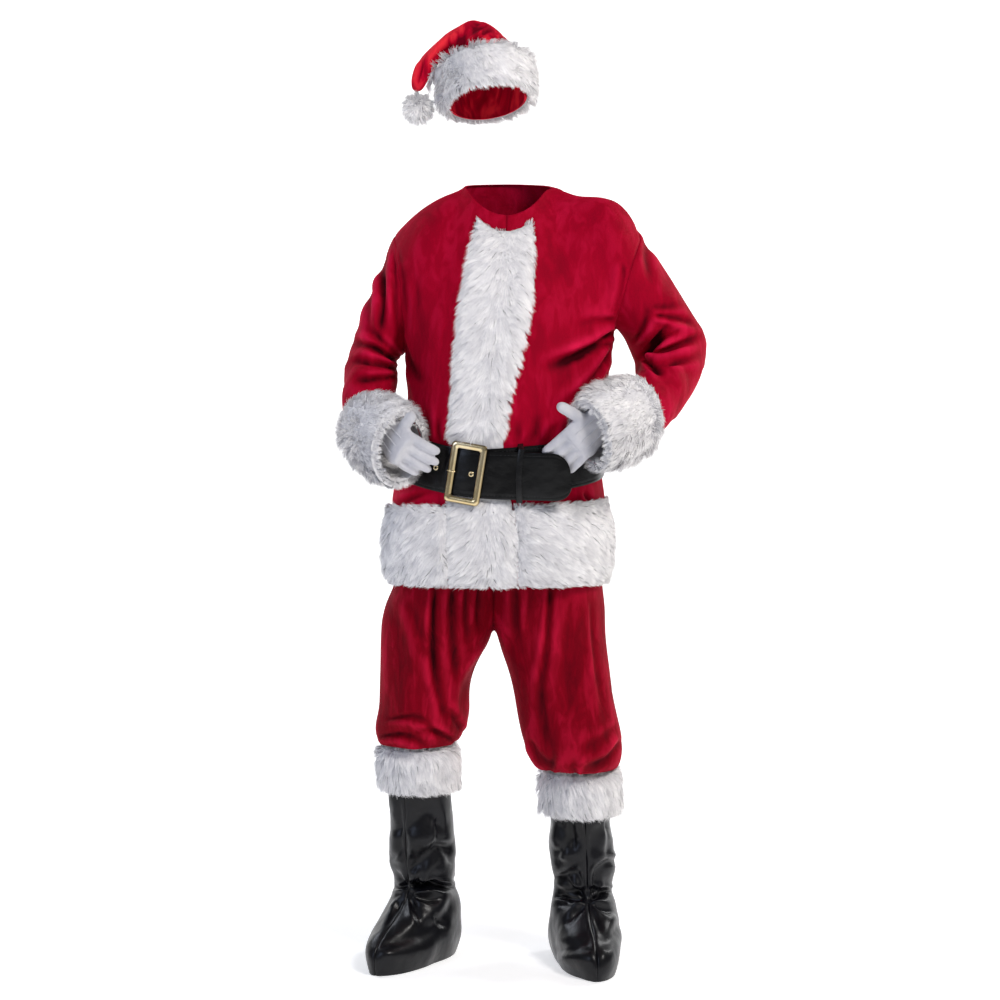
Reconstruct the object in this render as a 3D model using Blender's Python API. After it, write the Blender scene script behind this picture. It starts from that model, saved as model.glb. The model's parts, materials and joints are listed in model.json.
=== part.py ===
"""A Santa suit as it is worn, with nobody in it: hat, jacket, belt, gloves, trousers and boot covers.

Units are metres and +Z is up. The suit faces -Y, and the wearer's left is towards +X.
Heights in the tables are measured from the floor. Everything is lowered by ORIGIN_HEIGHT at the end,
so that the origin is the point between the wearer's shoulders that holds the suit up.
"""

import math
from collections import namedtuple

import bmesh
import bpy
import numpy as np
from mathutils import Vector

# Driving sizes
ORIGIN_HEIGHT = 1.47  # the wearer's shoulder line above the floor
VELVET = 0.002  # wall of the velvet pieces
HAT_VELVET = 0.0015  # wall of the hat, which has no lining
VINYL = 0.0018  # wall of the boot covers
GLOVE = 0.0016  # wall of the gloves
SEAM = 0.0004  # gap between two pieces at a seam
PILE = 0.018  # reach of the fur above the cloth that it is sewn on
PRESSED_PILE = 0.003  # reach of the fur under the belt
BELT_WIDTH = 0.090
BELT_THICKNESS = 0.0025

RIGHT = -1  # the wearer's right, towards -X
LEFT = 1  # the wearer's left, towards +X

bpy.context.preferences.edit.use_global_undo = False
for leftover in list(bpy.data.objects):
    bpy.data.objects.remove(leftover)


def paint(name, colour, roughness, metallic=0.0):
    """A plain Principled material."""
    material = bpy.data.materials.new(name)
    material.use_nodes = True
    shader = material.node_tree.nodes["Principled BSDF"]
    shader.inputs["Base Color"].default_value = (*colour, 1)
    shader.inputs["Roughness"].default_value = roughness
    shader.inputs["Metallic"].default_value = metallic
    return material


RED_VELVET = paint("red_velvet", (0.42, 0.004, 0.018), 0.75)
WHITE_FUR = paint("white_fur", (0.86, 0.86, 0.88), 0.9)
BLACK_VINYL = paint("black_vinyl", (0.012, 0.012, 0.014), 0.3)
GOLD = paint("gold_plate", (0.83, 0.66, 0.33), 0.25, 1.0)
WHITE_COTTON = paint("white_cotton", (0.80, 0.80, 0.84), 0.85)


# Surfaces ------------------------------------------------------------------------------------------------

def smooth(rows, at):
    """Every column of a table at the given values of its first column, on smooth curves through its rows."""
    table = np.array(rows, float)
    keys = table[:, 0]
    slopes = np.gradient(table, keys, axis=0)
    at = np.clip(np.asarray(at, float), keys[0], keys[-1])
    i = np.clip(np.searchsorted(keys, at) - 1, 0, len(keys) - 2)
    step = (keys[i + 1] - keys[i])[..., None]
    t = (at - keys[i])[..., None] / step
    return (
        (2 * t**3 - 3 * t**2 + 1) * table[i]
        + (t**3 - 2 * t**2 + t) * step * slopes[i]
        + (3 * t**2 - 2 * t**3) * table[i + 1]
        + (t**3 - t**2) * step * slopes[i + 1]
    )


def ease(t):
    """From 0 to 1 with no slope at either end."""
    t = np.clip(t, 0, 1)
    return t * t * (3 - 2 * t)


def run(points, axis):
    """How far the points are along an axis of their grid, on average."""
    steps = np.linalg.norm(np.diff(points, axis=axis), axis=2).mean(axis=1 - axis)
    return np.concatenate([[0], np.cumsum(steps)])


def facing_out(points, tube):
    """Unit normals of a grid of points, away from the middle of its rows."""
    if tube:
        wrapped = np.concatenate([points[:, -1:], points, points[:, :1]], axis=1)
        across = np.gradient(wrapped, axis=1)[:, 1:-1]
    else:
        across = np.gradient(points, run(points, 1), axis=1, edge_order=2)
    along = np.gradient(points, run(points, 0), axis=0, edge_order=2)
    normals = np.cross(across, along)
    normals /= np.linalg.norm(normals, axis=2, keepdims=True) + 1e-12
    outward = points - points.mean(axis=1, keepdims=True)
    return normals if (normals * outward).sum() > 0 else -normals


def moved(points, distance, tube=False):
    """A grid of points moved out along its normals by a distance, which may differ from point to point."""
    distance = np.broadcast_to(distance, points.shape[:2])[..., None]
    return points + facing_out(points, tube) * distance


Fold = namedtuple("Fold", "around along heading length width depth")


def folded(rows, around, along):
    """Depth of a table of folds at surface places in metres. A heading of 0 runs along and 90 runs around."""
    depth = np.zeros(np.broadcast(around, along).shape)
    for fold in rows:
        turn = math.radians(fold.heading)
        dx, dy = around - fold.around, along - fold.along
        run = dx * math.sin(turn) + dy * math.cos(turn)
        side = dx * math.cos(turn) - dy * math.sin(turn)
        across, length = (side / fold.width) ** 2, (2 * run / fold.length) ** 4
        depth += fold.depth * np.exp(-across - length)
    return depth


def solid(name, points, faces, material):
    """One closed body, facing out, from its points above the floor."""
    lowered = np.array(points, float).reshape(-1, 3) - np.array([0, 0, ORIGIN_HEIGHT])
    mesh = bpy.data.meshes.new(name)
    mesh.from_pydata(lowered.tolist(), [], faces)
    shaped = bmesh.new()
    shaped.from_mesh(mesh)
    bmesh.ops.recalc_face_normals(shaped, faces=shaped.faces)
    if shaped.calc_volume(signed=True) < 0:
        bmesh.ops.reverse_faces(shaped, faces=shaped.faces)
    shaped.to_mesh(mesh)
    shaped.free()
    mesh.shade_smooth()
    mesh.materials.append(material)
    obj = bpy.data.objects.new(name, mesh)
    bpy.context.scene.collection.objects.link(obj)
    return obj


def wall(name, outer, inner, material, tube=False):
    """One solid between two grids of points. The columns of a tube run round it."""
    rows, columns = outer.shape[:2]
    points = np.concatenate([outer.reshape(-1, 3), inner.reshape(-1, 3)])
    front = np.arange(rows * columns).reshape(rows, columns)
    if tube:
        front = np.concatenate([front, front[:, :1]], axis=1)
    back = front + rows * columns
    faces = []
    for sheet in (front, back):
        quads = np.stack([sheet[:-1, :-1], sheet[:-1, 1:], sheet[1:, 1:], sheet[1:, :-1]], axis=-1)
        faces += quads.reshape(-1, 4).tolist()
    edges = [(front[0], back[0]), (front[-1], back[-1])]
    if not tube:
        edges += [(front[:, 0], back[:, 0]), (front[:, -1], back[:, -1])]
    for near, far in edges:
        faces += np.stack([near[:-1], near[1:], far[1:], far[:-1]], axis=-1).tolist()
    return solid(name, points, faces, material)


def cloth(name, points, thickness, material, tube=False):
    """A piece of cloth whose outer face is the grid of points."""
    return wall(name, points, moved(points, -thickness, tube), material, tube)


def trimmed(points, share=0.05):
    """A grid whose first and last columns are drawn in by a share of their distance to the next ones."""
    points = points.copy()
    points[:, 0] += (points[:, 1] - points[:, 0]) * share
    points[:, -1] += (points[:, -2] - points[:, -1]) * share
    return points


def rounded_pile(rows, columns, reach, edge_rows=True, edge_columns=True):
    """Reach of a fur band over its grid, rounded down at its edges."""
    def crown(count, rounded):
        place = np.abs(np.linspace(-1, 1, count)) if rounded else np.zeros(count)
        return np.sqrt(1 - 0.82 * place**6)
    return reach * crown(rows, edge_rows)[:, None] * crown(columns, edge_columns)[None, :]


# Jacket body ---------------------------------------------------------------------------------------------

Section = namedtuple("Section", "height x y half_width front back turn")
TORSO = (
    Section(0.760, -0.001, 0.000, 0.209, 0.166, 0.146, -8),
    Section(0.830, -0.002, 0.000, 0.210, 0.168, 0.146, -8),
    Section(0.900, -0.003, 0.000, 0.2085, 0.169, 0.144, -9),
    Section(0.960, -0.001, 0.000, 0.205, 0.170, 0.138, -12),
    Section(1.040, 0.007, 0.000, 0.197, 0.171, 0.132, -14),
    Section(1.120, 0.014, 0.000, 0.197, 0.168, 0.130, -13),
    Section(1.200, 0.018, 0.003, 0.202, 0.157, 0.134, -10),
    Section(1.260, 0.020, 0.005, 0.206, 0.148, 0.137, -8),
)
SQUARENESS = 2.25  # 2 is an ellipse

Belt = namedtuple("Belt", "angle height")
BELT_LINE = (
    Belt(-180, 1.030), Belt(-135, 1.034), Belt(-90, 1.022), Belt(-50, 1.000),
    Belt(-5, 0.972), Belt(40, 0.976), Belt(75, 0.994), Belt(120, 1.020), Belt(180, 1.030),
)
BELT_CINCH = 0.005  # how far the belt draws the jacket in

Shoulder = namedtuple("Shoulder", "armpit tip_x tip_y tip_z bow late scye_front scye_back scye_in")
SHOULDERS = {
    RIGHT: Shoulder(1.196, -0.2104, 0.035, 1.444, 0.013, 1.1, 0.078, 0.082, 0.004),
    LEFT: Shoulder(1.241, 0.2730, -0.030, 1.4388, 0.040, 2.2, 0.078, 0.082, 0.010),
}
NECK_X, NECK_HALF_WIDTH = 0.0125, 0.080
NECK_FRONT, NECK_BACK = 0.082, 0.060
NECK_HEIGHTS = {"front": 1.462, "side": 1.528, "back": 1.536}
NECK_SHARE = 0.38  # of a quarter's width that ends at the neck and not at the shoulder seam
YOKE = 0.29  # length of the cloth from the armpit level to the shoulder seam
GIRTH = 0.19  # turns an angle round the body into a distance

TORSO_FOLDS = (
    # drag lines out of the wearer's left armpit
    Fold(0.262, 1.205, 52, 0.120, 0.013, -0.009),
    Fold(0.236, 1.150, 40, 0.150, 0.014, 0.008),
    Fold(0.262, 1.120, 34, 0.130, 0.012, -0.007),
    # drag lines out of the wearer's right armpit
    Fold(-0.255, 1.180, -40, 0.090, 0.014, 0.008),
    Fold(-0.276, 1.120, -6, 0.130, 0.013, -0.006),
    # long folds that hang from the shoulders
    Fold(-0.215, 1.300, 4, 0.170, 0.013, -0.007),
    Fold(-0.180, 1.290, 5, 0.190, 0.014, 0.006),
    Fold(0.215, 1.330, -3, 0.190, 0.013, -0.006),
    # cloth pushed out above and below the belt
    Fold(-0.170, 0.925, -38, 0.080, 0.011, 0.006),
    Fold(-0.120, 0.915, -30, 0.075, 0.011, 0.005),
    Fold(0.200, 0.935, 30, 0.080, 0.014, 0.005),
    Fold(0.400, 1.110, 10, 0.220, 0.020, 0.008),
    Fold(0.500, 1.150, -12, 0.240, 0.020, -0.007),
    Fold(0.590, 1.140, 0, 0.260, 0.022, 0.008),
    Fold(-0.460, 1.130, 10, 0.240, 0.022, 0.008),
    Fold(0.300, 0.920, 5, 0.100, 0.016, 0.005),
    Fold(0.450, 0.910, 0, 0.100, 0.018, 0.006),
    Fold(-0.330, 0.915, 0, 0.100, 0.018, 0.006),
    Fold(-0.480, 0.910, 0, 0.100, 0.018, 0.006),
)


def belt_height(angle):
    return smooth(BELT_LINE, (np.asarray(angle) + 180) % 360 - 180)[..., 1]


def torso(angle, height, cinched=1.0):
    """Points round the body. The angle is from the centre front, positive towards the wearer's left."""
    angle, height = np.broadcast_arrays(np.asarray(angle, float), np.asarray(height, float))
    _, x, y, half_width, front, back, turn = np.moveaxis(smooth(TORSO, height), -1, 0)
    cinch = cinched * BELT_CINCH * np.exp(-(((height - belt_height(angle)) / 0.066) ** 10))
    turned = np.radians(angle + turn)
    across, ahead = np.sin(turned), np.cos(turned)
    depth = np.where(ahead > 0, front, back) - cinch
    power = 2 / SQUARENESS
    return np.stack(
        [
            x + (half_width - cinch) * np.sign(across) * np.abs(across) ** power,
            y - depth * np.sign(ahead) * np.abs(ahead) ** power,
            height,
        ],
        axis=-1,
    )


def neck(angle):
    """Points of the neck edge, by the angle from its centre front."""
    turned = np.radians(angle)
    ahead = np.cos(turned)
    dip = np.where(
        ahead > 0,
        NECK_HEIGHTS["front"] - NECK_HEIGHTS["side"],
        NECK_HEIGHTS["back"] - NECK_HEIGHTS["side"],
    )
    return np.stack(
        [
            NECK_X + NECK_HALF_WIDTH * np.sin(turned),
            -np.where(ahead > 0, NECK_FRONT, NECK_BACK) * ahead + 0.01,
            NECK_HEIGHTS["side"] + dip * np.abs(ahead) ** 1.5,
        ],
        axis=-1,
    )


def shoulder_tip(side):
    s = SHOULDERS[side]
    return np.array([s.tip_x, s.tip_y, s.tip_z])


def armhole(side, face, up):
    """The armhole edge of one face, up from the armpit at 0 to the shoulder tip at 1."""
    s = SHOULDERS[side]
    pit = torso(90 * side, s.armpit)
    bulge = np.sin(np.pi * np.asarray(up)) ** 0.85
    forward = -s.scye_front if face == "front" else s.scye_back
    straight = pit + (shoulder_tip(side) - pit) * np.asarray(up)[..., None]
    return straight + bulge[..., None] * np.array([-side * s.scye_in, forward, 0.0])


def quarter(side, face, across, rows):
    """A grid on one quarter of the jacket: across runs from the centre line at 0 to the side seam at 1, and
    rows from the hem at 0 through the armpit level at 1 to the neck and shoulder seam at 2. With it come
    the places of its points round and along the cloth, in metres."""
    s = SHOULDERS[side]
    u, t = np.meshgrid(across, rows)
    angle = side * (90 * u if face == "front" else 180 - 90 * u)
    middle = (SHOULDERS[RIGHT].armpit + SHOULDERS[LEFT].armpit) / 2
    level = middle + (s.armpit - middle) * ease(u)
    hem = TORSO[0].height
    height = hem + (level - hem) * np.clip(t, 0, 1)
    low = torso(angle, height)

    v = np.clip(t - 1, 0, 1)[..., None]
    start = torso(angle, level)
    rise = (start - torso(angle, level - 0.02)) / 0.02 * YOKE
    share = np.clip(u / NECK_SHARE, 0, 1)
    along_seam = np.clip((u - NECK_SHARE) / (1 - NECK_SHARE), 0, 1)
    neck_angle = side * (90 * share if face == "front" else 180 - 90 * share)
    seam_start = neck(np.asarray(90.0 * side))
    bow = s.bow * np.sin(np.pi * along_seam**s.late)
    seam = seam_start + (shoulder_tip(side) - seam_start) * along_seam[..., None]
    seam[..., 2] += bow
    end = np.where((u < NECK_SHARE)[..., None], neck(neck_angle), seam)
    over = ease(u / 0.9)
    forward = 1 if face == "front" else -1
    arrive = np.stack([0 * u, forward * (0.10 + 0.20 * over), 0.26 * (1 - over) ** 2], axis=-1)
    yoke = (
        (2 * v**3 - 3 * v**2 + 1) * start
        + (v**3 - 2 * v**2 + v) * rise
        + (3 * v**2 - 2 * v**3) * end
        + (v**3 - v**2) * arrive
    )
    edge_v = np.clip(np.asarray(rows) - 1, 0, 1)
    # the last column follows the armhole
    last = quarter_edge(side, face, edge_v, s, arrive_forward=forward)
    yoke += (u**3)[..., None] * (armhole(side, face, edge_v) - last)[:, None, :]
    points = np.where((t <= 1)[..., None], low, yoke)
    around = np.radians(angle) * GIRTH
    along = height + YOKE * np.clip(t - 1, 0, 1)
    return points, around, along


def quarter_edge(side, face, up, s, arrive_forward):
    """Where the last column of a quarter's yoke would run without its armhole."""
    angle = 90 * side
    start = torso(angle, s.armpit)
    rise = (start - torso(angle, s.armpit - 0.02)) / 0.02 * YOKE
    arrive = np.array([0.0, arrive_forward * 0.30, 0.0])
    v = np.asarray(up)[:, None]
    return (
        (2 * v**3 - 3 * v**2 + 1) * start
        + (v**3 - 2 * v**2 + v) * rise
        + (3 * v**2 - 2 * v**3) * shoulder_tip(side)
        + (v**3 - v**2) * arrive
    )


def clear_of_belt(around, along):
    """1 away from the belt and the seams' ends, and 0 under the belt, where the cloth lies flat."""
    angle = np.degrees(np.asarray(around) / GIRTH)
    return 1 - np.exp(-(((along - belt_height(angle)) / 0.062) ** 10))


def jacket_points(side, face, across, rows):
    """The outer face of one quarter, with its folds."""
    points, around, along = quarter(side, face, across, rows)
    half_way = math.pi * GIRTH
    depth = folded(TORSO_FOLDS, (around + half_way) % (2 * half_way) - half_way, along)
    t = np.asarray(rows)[:, None]
    calm = ease((2 - t) / 0.25) * clear_of_belt(around, along)
    u = np.asarray(across)[None, :]
    calm = calm * ease((1 - u) / 0.12)
    return moved(points, depth * calm)


JACKET_LEVELS = (0, 0.11, 0.22, 0.325, 0.355, 0.42, 0.48, 0.54, 0.58, 0.64, 0.695, 0.76, 0.84, 0.92, 1.0)
YOKE_LEVELS = (1.143, 1.286, 1.429, 1.571, 1.714, 1.857, 1.995)
JACKET_ROWS = np.array(JACKET_LEVELS + YOKE_LEVELS)
HEM_BAND_ROWS = 4  # rows of the jacket that the fur at its hem covers
EDGE = 0.0020  # share of a quarter's width, half of the gap at a seam
FRONT_ACROSS = np.array((EDGE, 0.07, 0.14, 0.22, 0.31, 0.42, 0.54, 0.66, 0.78, 0.90, 1 - EDGE))
BACK_ACROSS = np.array((0, 0.13, 0.26, 0.39, 0.52, 0.64, 0.76, 0.88, 1 - EDGE))


def back_points(rows):
    """The whole back, from the right side seam to the left one."""
    right = jacket_points(RIGHT, "back", BACK_ACROSS, rows)
    left = jacket_points(LEFT, "back", BACK_ACROSS, rows)
    return np.concatenate([right[:, :0:-1], left], axis=1)


def make_jacket_body():
    for side, name in ((RIGHT, "right"), (LEFT, "left")):
        front = jacket_points(side, "front", FRONT_ACROSS, JACKET_ROWS)
        cloth(f"jacket_front_{name}", front, VELVET, RED_VELVET)
    cloth("jacket_back", back_points(JACKET_ROWS), VELVET, RED_VELVET)


# Tubes of cloth ------------------------------------------------------------------------------------------

Ring = namedtuple("Ring", "along outer_x outer_y outer_z inner_x inner_y inner_z through")


def ring_points(rows, turn, sense):
    """The stations of a tube as rings of points. A turn of 0 is the outer side and 90 degrees the front."""
    rows = np.array(rows)
    outer, inner, through = rows[:, 1:4], rows[:, 4:7], rows[:, 7:8]
    centre, half = (outer + inner) / 2, (outer - inner) / 2
    heading = np.gradient(centre, rows[:, 0], axis=0)
    front = np.cross(half, heading) * sense
    front *= through / np.linalg.norm(front, axis=1, keepdims=True)
    turn = np.asarray(turn)[None, :, None]
    return centre[:, None] + half[:, None] * np.cos(turn) + front[:, None] * np.sin(turn)


def between_rings(rows, rings, along):
    """A grid on smooth curves from ring to ring."""
    keys = np.array([row.along for row in rows])
    table = np.concatenate([keys[:, None], rings.reshape(len(keys), -1)], axis=1)
    return smooth(table, along)[:, 1:].reshape(len(along), -1, 3)


# Sleeves -------------------------------------------------------------------------------------------------

SLEEVES = {
    LEFT: (
        Ring(0.00, 0.2730, -0.030, 1.4388, 0.226, -0.020, 1.241, 0.080),
        Ring(0.20, 0.3560, -0.010, 1.3101, 0.242, -0.010, 1.224, 0.078),
        Ring(0.42, 0.4075, 0.020, 1.2038, 0.264, 0.004, 1.180, 0.080),
        Ring(0.60, 0.3665, -0.040, 1.1077, 0.265, -0.052, 1.162, 0.068),
        Ring(0.80, 0.2860, -0.122, 1.0330, 0.256, -0.128, 1.150, 0.052),
        Ring(1.00, 0.1860, -0.202, 0.9860, 0.152, -0.206, 1.103, 0.052),
    ),
    RIGHT: (
        Ring(0.00, -0.2104, 0.035, 1.444, -0.184, 0.020, 1.196, 0.080),
        Ring(0.20, -0.2560, 0.030, 1.3155, -0.198, 0.026, 1.187, 0.074),
        Ring(0.42, -0.2960, 0.032, 1.2080, -0.200, 0.024, 1.158, 0.073),
        Ring(0.60, -0.3045, 0.000, 1.1300, -0.202, -0.020, 1.134, 0.068),
        Ring(0.80, -0.2790, -0.084, 1.0300, -0.224, -0.092, 1.108, 0.051),
        Ring(1.00, -0.1980, -0.184, 0.9520, -0.180, -0.188, 1.084, 0.054),
    ),
}
SLEEVE_LENGTH = 0.50
SLEEVE_GIRTH = 0.075  # turns an angle round a sleeve into a distance
CUFF_START = {RIGHT: 0.79, LEFT: 0.82}  # where the fur cuff begins along a sleeve
CUFF_RINGS = 5
SLEEVE_SIDES = 14
SLEEVE_RINGS = 15

SLEEVE_FOLDS = {
    LEFT: (
        Fold(0.120, 0.165, 62, 0.120, 0.012, -0.009),
        Fold(0.105, 0.195, 72, 0.150, 0.012, 0.009),
        Fold(0.110, 0.225, 80, 0.150, 0.011, -0.009),
        Fold(0.110, 0.255, 88, 0.150, 0.012, 0.009),
        Fold(0.120, 0.285, 98, 0.140, 0.012, -0.008),
        Fold(0.130, 0.315, 110, 0.110, 0.013, 0.007),
        Fold(0.200, 0.110, 8, 0.170, 0.012, -0.008),
        Fold(0.330, 0.240, 90, 0.140, 0.014, 0.008),
        Fold(0.330, 0.285, 90, 0.140, 0.014, -0.008),
    ),
    RIGHT: (
        Fold(0.060, 0.120, 8, 0.200, 0.013, -0.008),
        Fold(0.110, 0.110, 4, 0.200, 0.012, 0.008),
        Fold(0.155, 0.100, 0, 0.200, 0.012, -0.008),
        Fold(0.080, 0.235, 70, 0.130, 0.012, -0.008),
        Fold(0.090, 0.265, 84, 0.150, 0.012, 0.008),
        Fold(0.100, 0.295, 96, 0.150, 0.012, -0.008),
        Fold(0.110, 0.325, 104, 0.130, 0.012, 0.007),
        Fold(0.330, 0.250, 90, 0.140, 0.014, 0.008),
        Fold(0.330, 0.290, 90, 0.140, 0.014, -0.008),
    ),
}


def sleeve_points(side, turn, along):
    rings = ring_points(SLEEVES[side], turn, -side)
    for i, angle in enumerate(turn):  # the first ring is the armhole
        share = angle / math.pi
        face, up = ("front", 1 - share) if share <= 1 else ("back", share - 1)
        rings[0, i] = armhole(side, face, np.asarray(up))
    points = between_rings(SLEEVES[side], rings, along)
    around, down = np.meshgrid(np.asarray(turn) * SLEEVE_GIRTH, along * SLEEVE_LENGTH)
    calm = ease(down / 0.03) * ease((CUFF_START[side] - 0.01 - along) / 0.06)[:, None]
    return moved(points, folded(SLEEVE_FOLDS[side], around, down) * calm, tube=True)


def make_sleeves():
    turn = np.linspace(0, 2 * math.pi, SLEEVE_SIDES, endpoint=False)
    for side, name in ((RIGHT, "right"), (LEFT, "left")):
        cuff = np.linspace(CUFF_START[side], 0.996, CUFF_RINGS)
        upper = np.linspace(0, CUFF_START[side], SLEEVE_RINGS)[:-1]
        upper[0] = 0.006
        points = sleeve_points(side, turn, np.concatenate([upper, cuff, [1]]))
        cloth(f"sleeve_{name}", points, VELVET, RED_VELVET, tube=True)
        under = points[len(upper):-1]
        pile = rounded_pile(CUFF_RINGS, SLEEVE_SIDES, PILE, edge_columns=False)
        wall(f"cuff_{name}", moved(under, SEAM + pile, True), moved(under, SEAM, True), WHITE_FUR, tube=True)


# Fur on the jacket ---------------------------------------------------------------------------------------

BandEdge = namedtuple("BandEdge", "row right left")
FRONT_BAND = (  # the front band's two edges up the rows of the jacket, in degrees from the closing line
    BandEdge(0.00, -16.5, 15.0),
    BandEdge(0.32, -15.2, 14.8),
    BandEdge(0.60, -13.2, 13.8),
    BandEdge(0.80, -15.0, 13.6),
    BandEdge(1.00, -16.5, 14.6),
    BandEdge(1.40, -17.5, 15.6),
    BandEdge(2.00, -16.0, 14.0),
)
BAND_COLUMNS = 6
BAND_GAP = 0.0010  # between the front band and the fronts, which it crosses at a slant
BAND_MARGIN = 0.8  # degrees between the front band and a hem band


def belt_press(angle, height):
    """1 under the belt and 0 away from it."""
    return np.exp(-(((height - belt_height(angle)) / 0.066) ** 12))


def front_place(angle, row):
    """A point on the fronts by its angle from the closing line, and its place up the cloth."""
    side = LEFT if angle > 0 else RIGHT
    place = max(abs(angle) / 90, EDGE)
    points, _, along = quarter(side, "front", [place, place + 0.01], [row])
    return points[0, 0], along[0, 0]


def make_front_band():
    rows = JACKET_ROWS[:-1]
    edges = smooth(FRONT_BAND, rows)
    under = np.zeros((len(rows), BAND_COLUMNS, 3))
    press = np.zeros((len(rows), BAND_COLUMNS))
    for i, row in enumerate(rows):
        for j, angle in enumerate(np.linspace(edges[i, 1], edges[i, 2], BAND_COLUMNS)):
            under[i, j], along = front_place(angle, row)
            press[i, j] = belt_press(angle, along)
    reach = rounded_pile(len(rows), BAND_COLUMNS, 1.0) * (PILE + (PRESSED_PILE - PILE) * press)
    wall("fur_front_band", moved(under, BAND_GAP + reach), moved(under, BAND_GAP), WHITE_FUR)


def make_hem_bands():
    for side, name in ((RIGHT, "right"), (LEFT, "left")):
        under = jacket_points(side, "front", FRONT_ACROSS[2:], JACKET_ROWS[:HEM_BAND_ROWS])
        edges = smooth(FRONT_BAND, JACKET_ROWS[:HEM_BAND_ROWS])[:, 2 if side == LEFT else 1]
        for row, edge in enumerate(edges):
            under[row, 0] = front_place(edge + side * BAND_MARGIN, JACKET_ROWS[row])[0]
        under = trimmed(under)
        pile = rounded_pile(*under.shape[:2], PILE)
        wall(f"fur_hem_front_{name}", moved(under, SEAM + pile), moved(under, SEAM), WHITE_FUR)
    under = trimmed(back_points(JACKET_ROWS)[:HEM_BAND_ROWS])
    pile = rounded_pile(*under.shape[:2], PILE)
    wall("fur_hem_back", moved(under, SEAM + pile), moved(under, SEAM), WHITE_FUR)


# Trousers ------------------------------------------------------------------------------------------------

Leg = namedtuple("Leg", "along height x y half_width front back")
LEGS = {
    LEFT: (
        Leg(0.00, 0.880, 0.083, 0.000, 0.112, 0.128, 0.105),
        Leg(0.15, 0.800, 0.083, 0.000, 0.114, 0.126, 0.110),
        Leg(0.24, 0.757, 0.086, 0.000, 0.1145, 0.124, 0.112),
        Leg(0.31, 0.720, 0.092, 0.000, 0.1160, 0.124, 0.120),
        Leg(0.44, 0.650, 0.0985, 0.000, 0.1105, 0.120, 0.120),
        Leg(0.55, 0.590, 0.1145, -0.005, 0.1025, 0.115, 0.115),
        Leg(0.69, 0.515, 0.1280, -0.010, 0.0985, 0.112, 0.112),
        Leg(0.78, 0.465, 0.1385, -0.015, 0.1015, 0.115, 0.110),
        Leg(0.85, 0.425, 0.1458, -0.018, 0.0960, 0.110, 0.100),
        Leg(0.91, 0.394, 0.1510, -0.010, 0.0840, 0.092, 0.088),
        Leg(0.95, 0.389, 0.1535, -0.004, 0.0745, 0.078, 0.076),
        Leg(1.00, 0.402, 0.1545, -0.002, 0.0656, 0.0656, 0.0656),
    ),
    RIGHT: (
        Leg(0.00, 0.880, -0.088, 0.000, 0.108, 0.128, 0.100),
        Leg(0.15, 0.800, -0.092, -0.002, 0.108, 0.124, 0.104),
        Leg(0.25, 0.757, -0.098, -0.002, 0.1055, 0.122, 0.106),
        Leg(0.33, 0.720, -0.108, 0.003, 0.116, 0.122, 0.118),
        Leg(0.48, 0.650, -0.1238, 0.010, 0.1118, 0.118, 0.120),
        Leg(0.63, 0.583, -0.1415, 0.015, 0.0940, 0.112, 0.115),
        Leg(0.74, 0.5345, -0.1480, 0.020, 0.0895, 0.110, 0.112),
        Leg(0.82, 0.4957, -0.1490, 0.025, 0.0920, 0.112, 0.110),
        Leg(0.87, 0.472, -0.1560, 0.028, 0.0935, 0.110, 0.104),
        Leg(0.92, 0.444, -0.1610, 0.026, 0.0850, 0.096, 0.092),
        Leg(0.955, 0.435, -0.1630, 0.020, 0.0750, 0.080, 0.078),
        Leg(1.00, 0.447, -0.1637, 0.018, 0.0653, 0.0653, 0.0653),
    ),
}
MIDDLE = -0.012  # where the two legs are sewn together
LEG_SEAM = 0.35  # degrees from the sides of a leg to the edges of its panels
LEG_GIRTH = 0.115  # turns an angle round a leg into a distance
LEG_ROWS = np.array((0, 0.10, 0.19, 0.26, 0.34, 0.42, 0.50, 0.58, 0.66, 0.74, 0.81, 0.87, 0.915, 0.955, 1.0))
LEG_COLUMNS = 9
LEG_TOP = 0.26  # how far down the rows a leg takes the waist's shape
WAISTBAND = 0.034
WAIST_INSET = VELVET + 0.0013

TROUSER_FOLDS = {
    RIGHT: (
        Fold(-0.010, 0.690, 4, 0.150, 0.014, -0.008),
        Fold(-0.035, 0.600, 12, 0.200, 0.013, 0.009),
        Fold(-0.055, 0.540, 14, 0.180, 0.012, -0.009),
        Fold(0.040, 0.640, -4, 0.220, 0.014, 0.007),
        Fold(0.085, 0.600, 0, 0.240, 0.014, -0.007),
        Fold(-0.100, 0.560, 4, 0.200, 0.014, 0.008),
        Fold(0.020, 0.500, 80, 0.120, 0.012, 0.006),
        Fold(0.020, 0.478, 84, 0.140, 0.011, -0.006),
        Fold(0.230, 0.620, 6, 0.240, 0.016, 0.008),
        Fold(0.280, 0.560, -6, 0.240, 0.016, -0.008),
        Fold(0.330, 0.640, 4, 0.220, 0.016, 0.008),
    ),
    LEFT: (
        Fold(-0.005, 0.690, 6, 0.180, 0.013, -0.010),
        Fold(-0.035, 0.600, 12, 0.180, 0.013, 0.009),
        Fold(0.060, 0.640, -6, 0.260, 0.014, 0.007),
        Fold(0.110, 0.600, -8, 0.260, 0.014, -0.008),
        Fold(-0.075, 0.540, 14, 0.200, 0.013, -0.008),
        Fold(-0.115, 0.500, 4, 0.170, 0.013, 0.008),
        Fold(0.030, 0.450, 82, 0.120, 0.011, 0.006),
        Fold(0.150, 0.500, -14, 0.160, 0.013, 0.008),
        Fold(0.230, 0.600, 6, 0.240, 0.016, -0.008),
        Fold(0.280, 0.540, -6, 0.240, 0.016, 0.008),
        Fold(0.330, 0.620, 4, 0.220, 0.016, -0.008),
    ),
}


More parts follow.
